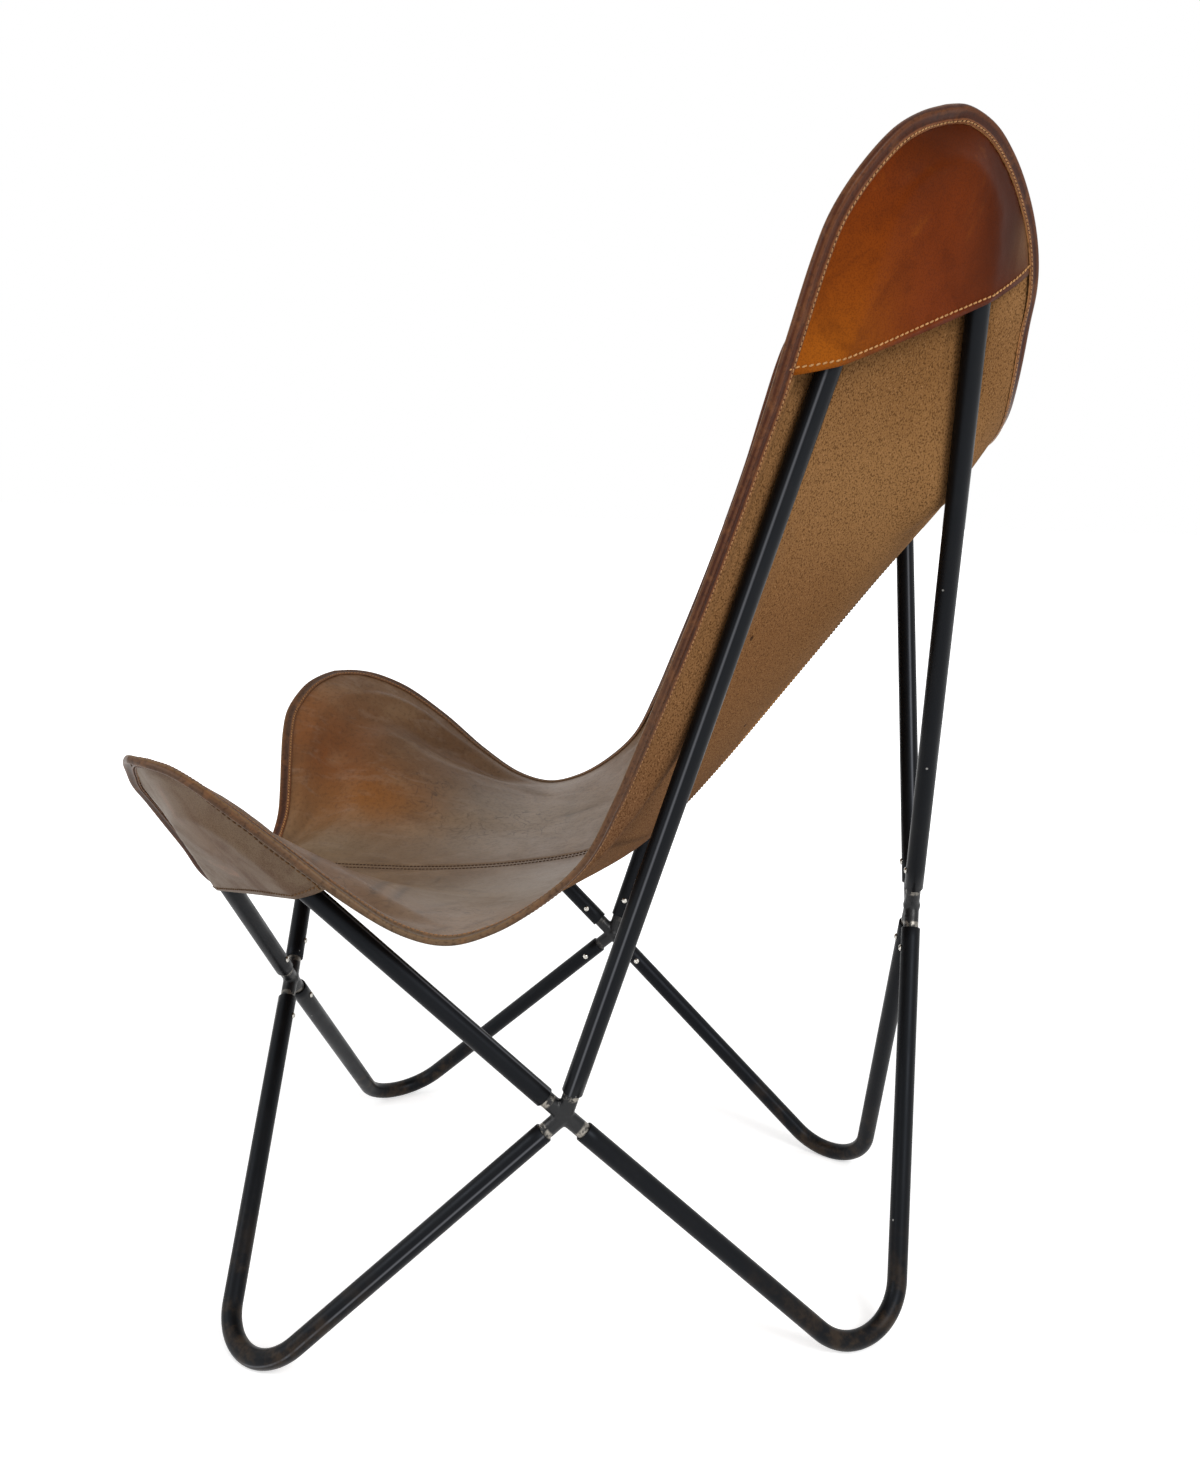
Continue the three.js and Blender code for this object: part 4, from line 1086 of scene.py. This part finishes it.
def binding_stitches():
    """The outside and the inside row of the edge strip, each in its groove."""
    near, depths = binding_room()
    line = edge.point + edge.inward * STITCH_INSET
    rise = BINDING_THICKNESS * STITCH_FLOOR + STITCH_RADIUS * STITCH_RISE_SHARE
    inside = both_sides(line + edge.up * (near + rise), edge.up)
    outside = both_sides(line - edge.up * (depths + rise)[:, None], -edge.up)
    return [
        stitched("inside_stitches", inside, INSIDE_THREAD, INSIDE_THREAD_SPOTS),
        stitched("outside_stitches", outside, TAN_THREAD, OUTSIDE_THREAD_SPOTS),
    ]


def seam_stitches():
    """The rows of stitches along the centre line, on both faces of the sling."""
    rows = []
    for offset in SEAM_ROW_OFFSETS:
        across = offset / side_curve.at(0.5)[0]
        around = [across - SEAM_PROBE_SHARE, across, across + SEAM_PROBE_SHARE]
        line = sling_points(*np.meshgrid(around, SEAM_SHARES))
        up = grid_normals(line)[:, 1]
        rise = LEATHER_THICKNESS / 2 + STITCH_RADIUS * STITCH_RISE_SHARE
        rows.append((line[:, 1] + up * rise, up))
        rows.append((line[:, 1] - up * (rise + LAYER_STEP), -up))
    return stitched("seam_stitches", rows, DARK_THREAD)


def perimeter_row(grid, inset):
    """A line round the sewn sides of a pocket, with its normals, at a distance from its edge."""
    rungs = [(row, run_lengths(points)) for row, points in enumerate(grid)]
    rungs = [(row, lengths) for row, lengths in rungs if lengths[-1] > PERIMETER_TURN * inset]
    places = [(row, lengths, inset) for row, lengths in rungs]
    places += [(row, lengths, lengths[-1] - inset) for row, lengths in reversed(rungs)]
    return [
        np.array([read_rows(values[row], lengths, place) for row, lengths, place in places])
        for values in (grid, grid_normals(grid))
    ]


def hem_stitches(name, grid, side, insets):
    """Rows of stitches on a pocket's outside: along its mouth, and round its sewn sides at the insets."""
    gaps = np.cumsum(np.linalg.norm(np.diff(grid, axis=0, prepend=grid[:1]), axis=-1), axis=0)
    columns = range(HEM_END_COLUMNS, grid.shape[1] - HEM_END_COLUMNS)
    line, up = [
        np.array([read_rows(values[:, column], gaps[:, column], POCKET_HEM_STITCH) for column in columns])
        for values in (grid, grid_normals(grid))
    ]
    rise = POCKET_THICKNESS / 2 + STITCH_RADIUS * STITCH_RISE_SHARE
    lines = [(line, up)] + [perimeter_row(grid, inset) for inset in insets]
    rows = [(on_side(points + unit(ups) * rise, side), on_side(unit(ups), side)) for points, ups in lines]
    spots, pitch, scale = OUTSIDE_THREAD_SPOTS, POCKET_HEM_PITCH, POCKET_HEM_SCALE
    return stitched(name + "_hem", rows, HEM_THREAD, spots, pitch, scale)


# Steel pieces
def tube_rings(start, corner, end, radius):
    """Rings of points along a bent tube and back along its bore, with softened rims at both ends."""
    path = bent_path(start, corner, end, radius)
    normal = unit(np.cross(start - corner, end - corner))
    tangent = unit(np.gradient(path, axis=0))
    tangent[0], tangent[-1] = unit(path[1] - path[0]), unit(path[-1] - path[-2])
    around = circle(np.cross(normal, tangent)[:, None], normal, TUBE_SIDES)
    outer = path[:, None] + around * TUBE_RADIUS
    inner = path[:, None] + around * (TUBE_RADIUS - TUBE_WALL)
    first, last = (path[tip] + around[tip] * (TUBE_RADIUS - TUBE_END_ROUNDING) for tip in (0, -1))
    outer[0] += tangent[0] * TUBE_END_ROUNDING
    outer[-1] -= tangent[-1] * TUBE_END_ROUNDING
    return np.array([first, *outer, last, *inner[::-1]])


def tube(name, start_crossing, corner, end_crossing, radius, on_floor):
    """A bent tube between two crossings."""
    start = start_crossing + unit(corner - start_crossing) * TUBE_END_GAP
    end = end_crossing + unit(corner - end_crossing) * TUBE_END_GAP
    rings = tube_rings(start, corner, end, radius)
    if on_floor:
        rings[..., 2] = np.maximum(rings[..., 2], 0)
    points = rings.reshape(-1, 3)
    piece = make_piece(name + "_tube", points, ring_faces(len(rings), TUBE_SIDES), [BLACK])
    weld = np.zeros((len(rings), TUBE_SIDES))
    weld[:, WELD_LINE_SIDE] = 1
    paint(piece, "weld", weld.ravel())
    paint(piece, "dust", 1 - smooth_step(DUST_LOW, DUST_HIGH, points[:, 2]))
    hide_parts(name)


def add_spigot(made, start, end):
    """A closed rod, added to the shape that is being made."""
    ahead = unit(end - start)
    aside = unit(np.cross(ahead, SPIGOT_ASIDE))
    around = circle(aside, np.cross(ahead, aside), SPIGOT_SIDES) * SPIGOT_RADIUS
    ring = [made.verts.new(point) for point in np.concatenate([start + around, end + around])]
    for face in ring_faces(2, SPIGOT_SIDES)[:SPIGOT_SIDES]:
        made.faces.new([ring[index] for index in face])
    made.faces.new(ring[:SPIGOT_SIDES][::-1])
    made.faces.new(ring[SPIGOT_SIDES:])


def welded(name, made):
    """Points and faces of the made shape, merged into one skin with soft fillets."""
    mesh = bpy.data.meshes.new(name)
    made.to_mesh(mesh)
    made.free()
    rough = add_object(name, mesh)
    remesh = rough.modifiers.new("weld", "REMESH")
    remesh.mode, remesh.voxel_size = "VOXEL", WELD_VOXEL
    smooth = rough.modifiers.new("fillet", "SMOOTH")
    smooth.factor, smooth.iterations = WELD_SMOOTH_SHARE, WELD_SMOOTH_ROUNDS
    skin = rough.evaluated_get(bpy.context.evaluated_depsgraph_get()).to_mesh()
    points = np.array([vertex.co[:] for vertex in skin.vertices])
    faces = [tuple(face.vertices) for face in skin.polygons]
    bpy.data.objects.remove(rough)
    return points, faces


def connector(name, crossing, corners):
    """Four spigots welded round a core, with bare metal near the crossing."""
    made = bmesh.new()
    arms = [unit(corner - crossing) for corner in corners]
    for arm in arms:
        add_spigot(made, crossing, crossing + arm * SPIGOT_REACH)
    middle = Matrix.Translation(crossing.tolist())
    size = {"subdivisions": WELD_CORE_SUBDIVISIONS, "radius": WELD_CORE_RADIUS}
    bmesh.ops.create_icosphere(made, matrix=middle, **size)
    bmesh.ops.recalc_face_normals(made, faces=made.faces)
    points, faces = welded(name + "_rough", made)
    piece = make_piece(name + "_weld", points, faces, [CONNECTOR])
    along = np.max([(points - crossing) @ arm for arm in arms], axis=0)
    bare = smooth_step(*BARE_FROM, along) * (1 - smooth_step(*BARE_TO, along))
    paint(piece, "bare", bare * BARE_SHARES[name.split("_")[-1]])
    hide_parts(name)


def screw(name, crossing, corner, inward):
    """A dome head with a cross recess, square to its tube."""
    along = unit(corner - crossing)
    axis = unit(inward - along * (inward @ along))
    aside = np.cross(axis, along)
    centre = crossing + along * SCREW_DISTANCE + axis * (TUBE_RADIUS - SCREW_SINK)
    points = []
    for angle in [math.pi / 2 * ring / (SCREW_RINGS - 1) for ring in range(SCREW_RINGS)]:
        radius = SCREW_HEAD_RADIUS * math.cos(angle)
        height = SCREW_SINK + SCREW_HEAD_HEIGHT * math.sin(angle)
        for turn in [2 * math.pi * side / SCREW_SIDES for side in range(SCREW_SIDES)]:
            across, up = radius * math.cos(turn), radius * math.sin(turn)
            narrow, wide = sorted([abs(across), abs(up)])
            in_recess = wide < SCREW_RECESS_RADIUS and narrow < SCREW_RECESS_WIDTH
            depth = SCREW_RECESS_DEPTH if in_recess else 0
            points.append(centre + along * across + aside * up + axis * (height - depth))
    faces = [*ring_faces(SCREW_RINGS, SCREW_SIDES)[:-SCREW_SIDES], range(SCREW_SIDES)[::-1]]
    piece = make_piece(name + "_head", points, faces, [SCREW])
    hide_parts(name)


def screwed_connector(word, crossing, corners, inward):
    """A connector and the screws of the four tubes that it holds."""
    connector("connector_" + word, crossing, corners)
    for index, corner in enumerate(corners):
        screw(f"screw_{word}_{index + 1}", crossing, corner, inward)


def frame_pieces():
    """Connectors with their screws, in the middle and on both sides, and the tubes."""
    backward, forward = np.array([0.0, 1.0, 0.0]), np.array([0.0, -1.0, 0.0])
    middles = [
        ("front", FRONT_CROSSING, backward, [FRONT_HORN_CORNER, FRONT_FOOT]),
        ("rear", REAR_CROSSING, forward, [BACK_HORN_CORNER, BACK_FOOT]),
    ]
    for word, crossing, inward, corners in middles:
        both = [corner for right in corners for corner in (right, mirrored(right))]
        screwed_connector(word, crossing, both, inward)
    right_corners = (FRONT_HORN_CORNER, BACK_HORN_CORNER, FRONT_FOOT, BACK_FOOT)
    for word, side in SIDES:
        crossing = on_side(SIDE_CROSSING, side)
        corners = [on_side(corner, side) for corner in right_corners]
        front, back, front_foot, back_foot = corners
        screwed_connector(word, crossing, corners, np.array([-side, 0.0, 0.0]))
        tube("back_horn_" + word, crossing, back, REAR_CROSSING, BACK_HORN_BEND_RADIUS, False)
        tube("front_horn_" + word, crossing, front, FRONT_CROSSING, FRONT_HORN_BEND_RADIUS, False)
        tube("front_leg_" + word, crossing, front_foot, FRONT_CROSSING, BEND_RADIUS, True)
        tube("back_leg_" + word, crossing, back_foot, REAR_CROSSING, BEND_RADIUS, True)


def leather_pieces():
    """Sling halves with the seam stitches, pockets, and the edge strip with its stitches."""
    halves = [sling_half(name, side) for name, side in SIDES]
    seam = seam_stitches()
    for half, others in zip(halves, ([seam], [])):
        name = half.name.split("_")[-1]
    for word, horn, sag in (("front", front_horn, FRONT_POCKET_SAG), ("back", back_horn, BACK_POCKET_SAG)):
        grid = pocket_grid(word, horn, sag)
        for name, side in SIDES:
            pocket("_".join(["pocket", word, name]), word, side, grid)
    strip = edge_binding()
    binding_stitches()


# Stage
def add_floor():
    mesh = bpy.data.meshes.new("floor")
    turns = ((-1, -1), (1, -1), (1, 1), (-1, 1))
    mesh.from_pydata([(x * FLOOR_REACH, y * FLOOR_REACH, 0) for x, y in turns], [], [(0, 1, 2, 3)])
    mesh.materials.append(studio_floor())
    add_object("floor", mesh)


def add_world():
    world = bpy.data.worlds.new("studio")
    bpy.context.scene.world = world
    world.use_nodes = True
    sky = Nodes(world.node_tree)
    background = sky.nodes["Background"]
    sky.put(background.inputs["Color"], (1, 1, 1, 1))
    sky.put(background.inputs["Strength"], sky.ranged(sky.seen_directly(), 0.0, 1.0, WORLD_LIGHT, 1.0))


def add_lamp(name, place, target, power):
    light = bpy.data.lights.new(name, "AREA")
    light.shape, light.size, light.energy = "SQUARE", LAMP_SIZE, power
    lamp = add_object(name, light)
    lamp.location = place
    back = unit(np.array(place, float) - np.array(target, float))
    right = unit(np.cross(np.array([0.0, 0.0, 1.0]), back))
    lamp.rotation_euler = Matrix(np.stack([right, np.cross(back, right), back], axis=1).tolist()).to_euler()


def add_camera():
    yaw, pitch, roll = CAMERA_YAW, CAMERA_PITCH, CAMERA_ROLL
    back = np.array([math.sin(yaw) * math.cos(pitch), -math.cos(yaw) * math.cos(pitch), math.sin(pitch)])
    right = np.array([math.cos(yaw), math.sin(yaw), 0.0])
    up = np.cross(back, right)
    turned_right = right * math.cos(roll) + up * math.sin(roll)
    turned_up = up * math.cos(roll) - right * math.sin(roll)
    data = bpy.data.cameras.new("camera")
    data.sensor_fit, data.sensor_height = "VERTICAL", SENSOR
    data.lens = FOCAL_PIXELS * SENSOR / IMAGE_HEIGHT
    data.clip_end = VIEW_REACH
    camera = add_object("camera", data)
    place = Matrix(np.stack([turned_right, turned_up, back], axis=1).tolist()).to_4x4()
    place.translation = to_frame(CAMERA_PLACE).tolist()
    camera.matrix_world = place
    bpy.context.scene.camera = camera


def add_stage():
    add_floor()
    add_world()
    for lamp in LAMPS:
        add_lamp(*lamp)
    bpy.context.scene.view_settings.view_transform = "Standard"


add_camera()
frame_pieces()
leather_pieces()
add_stage()
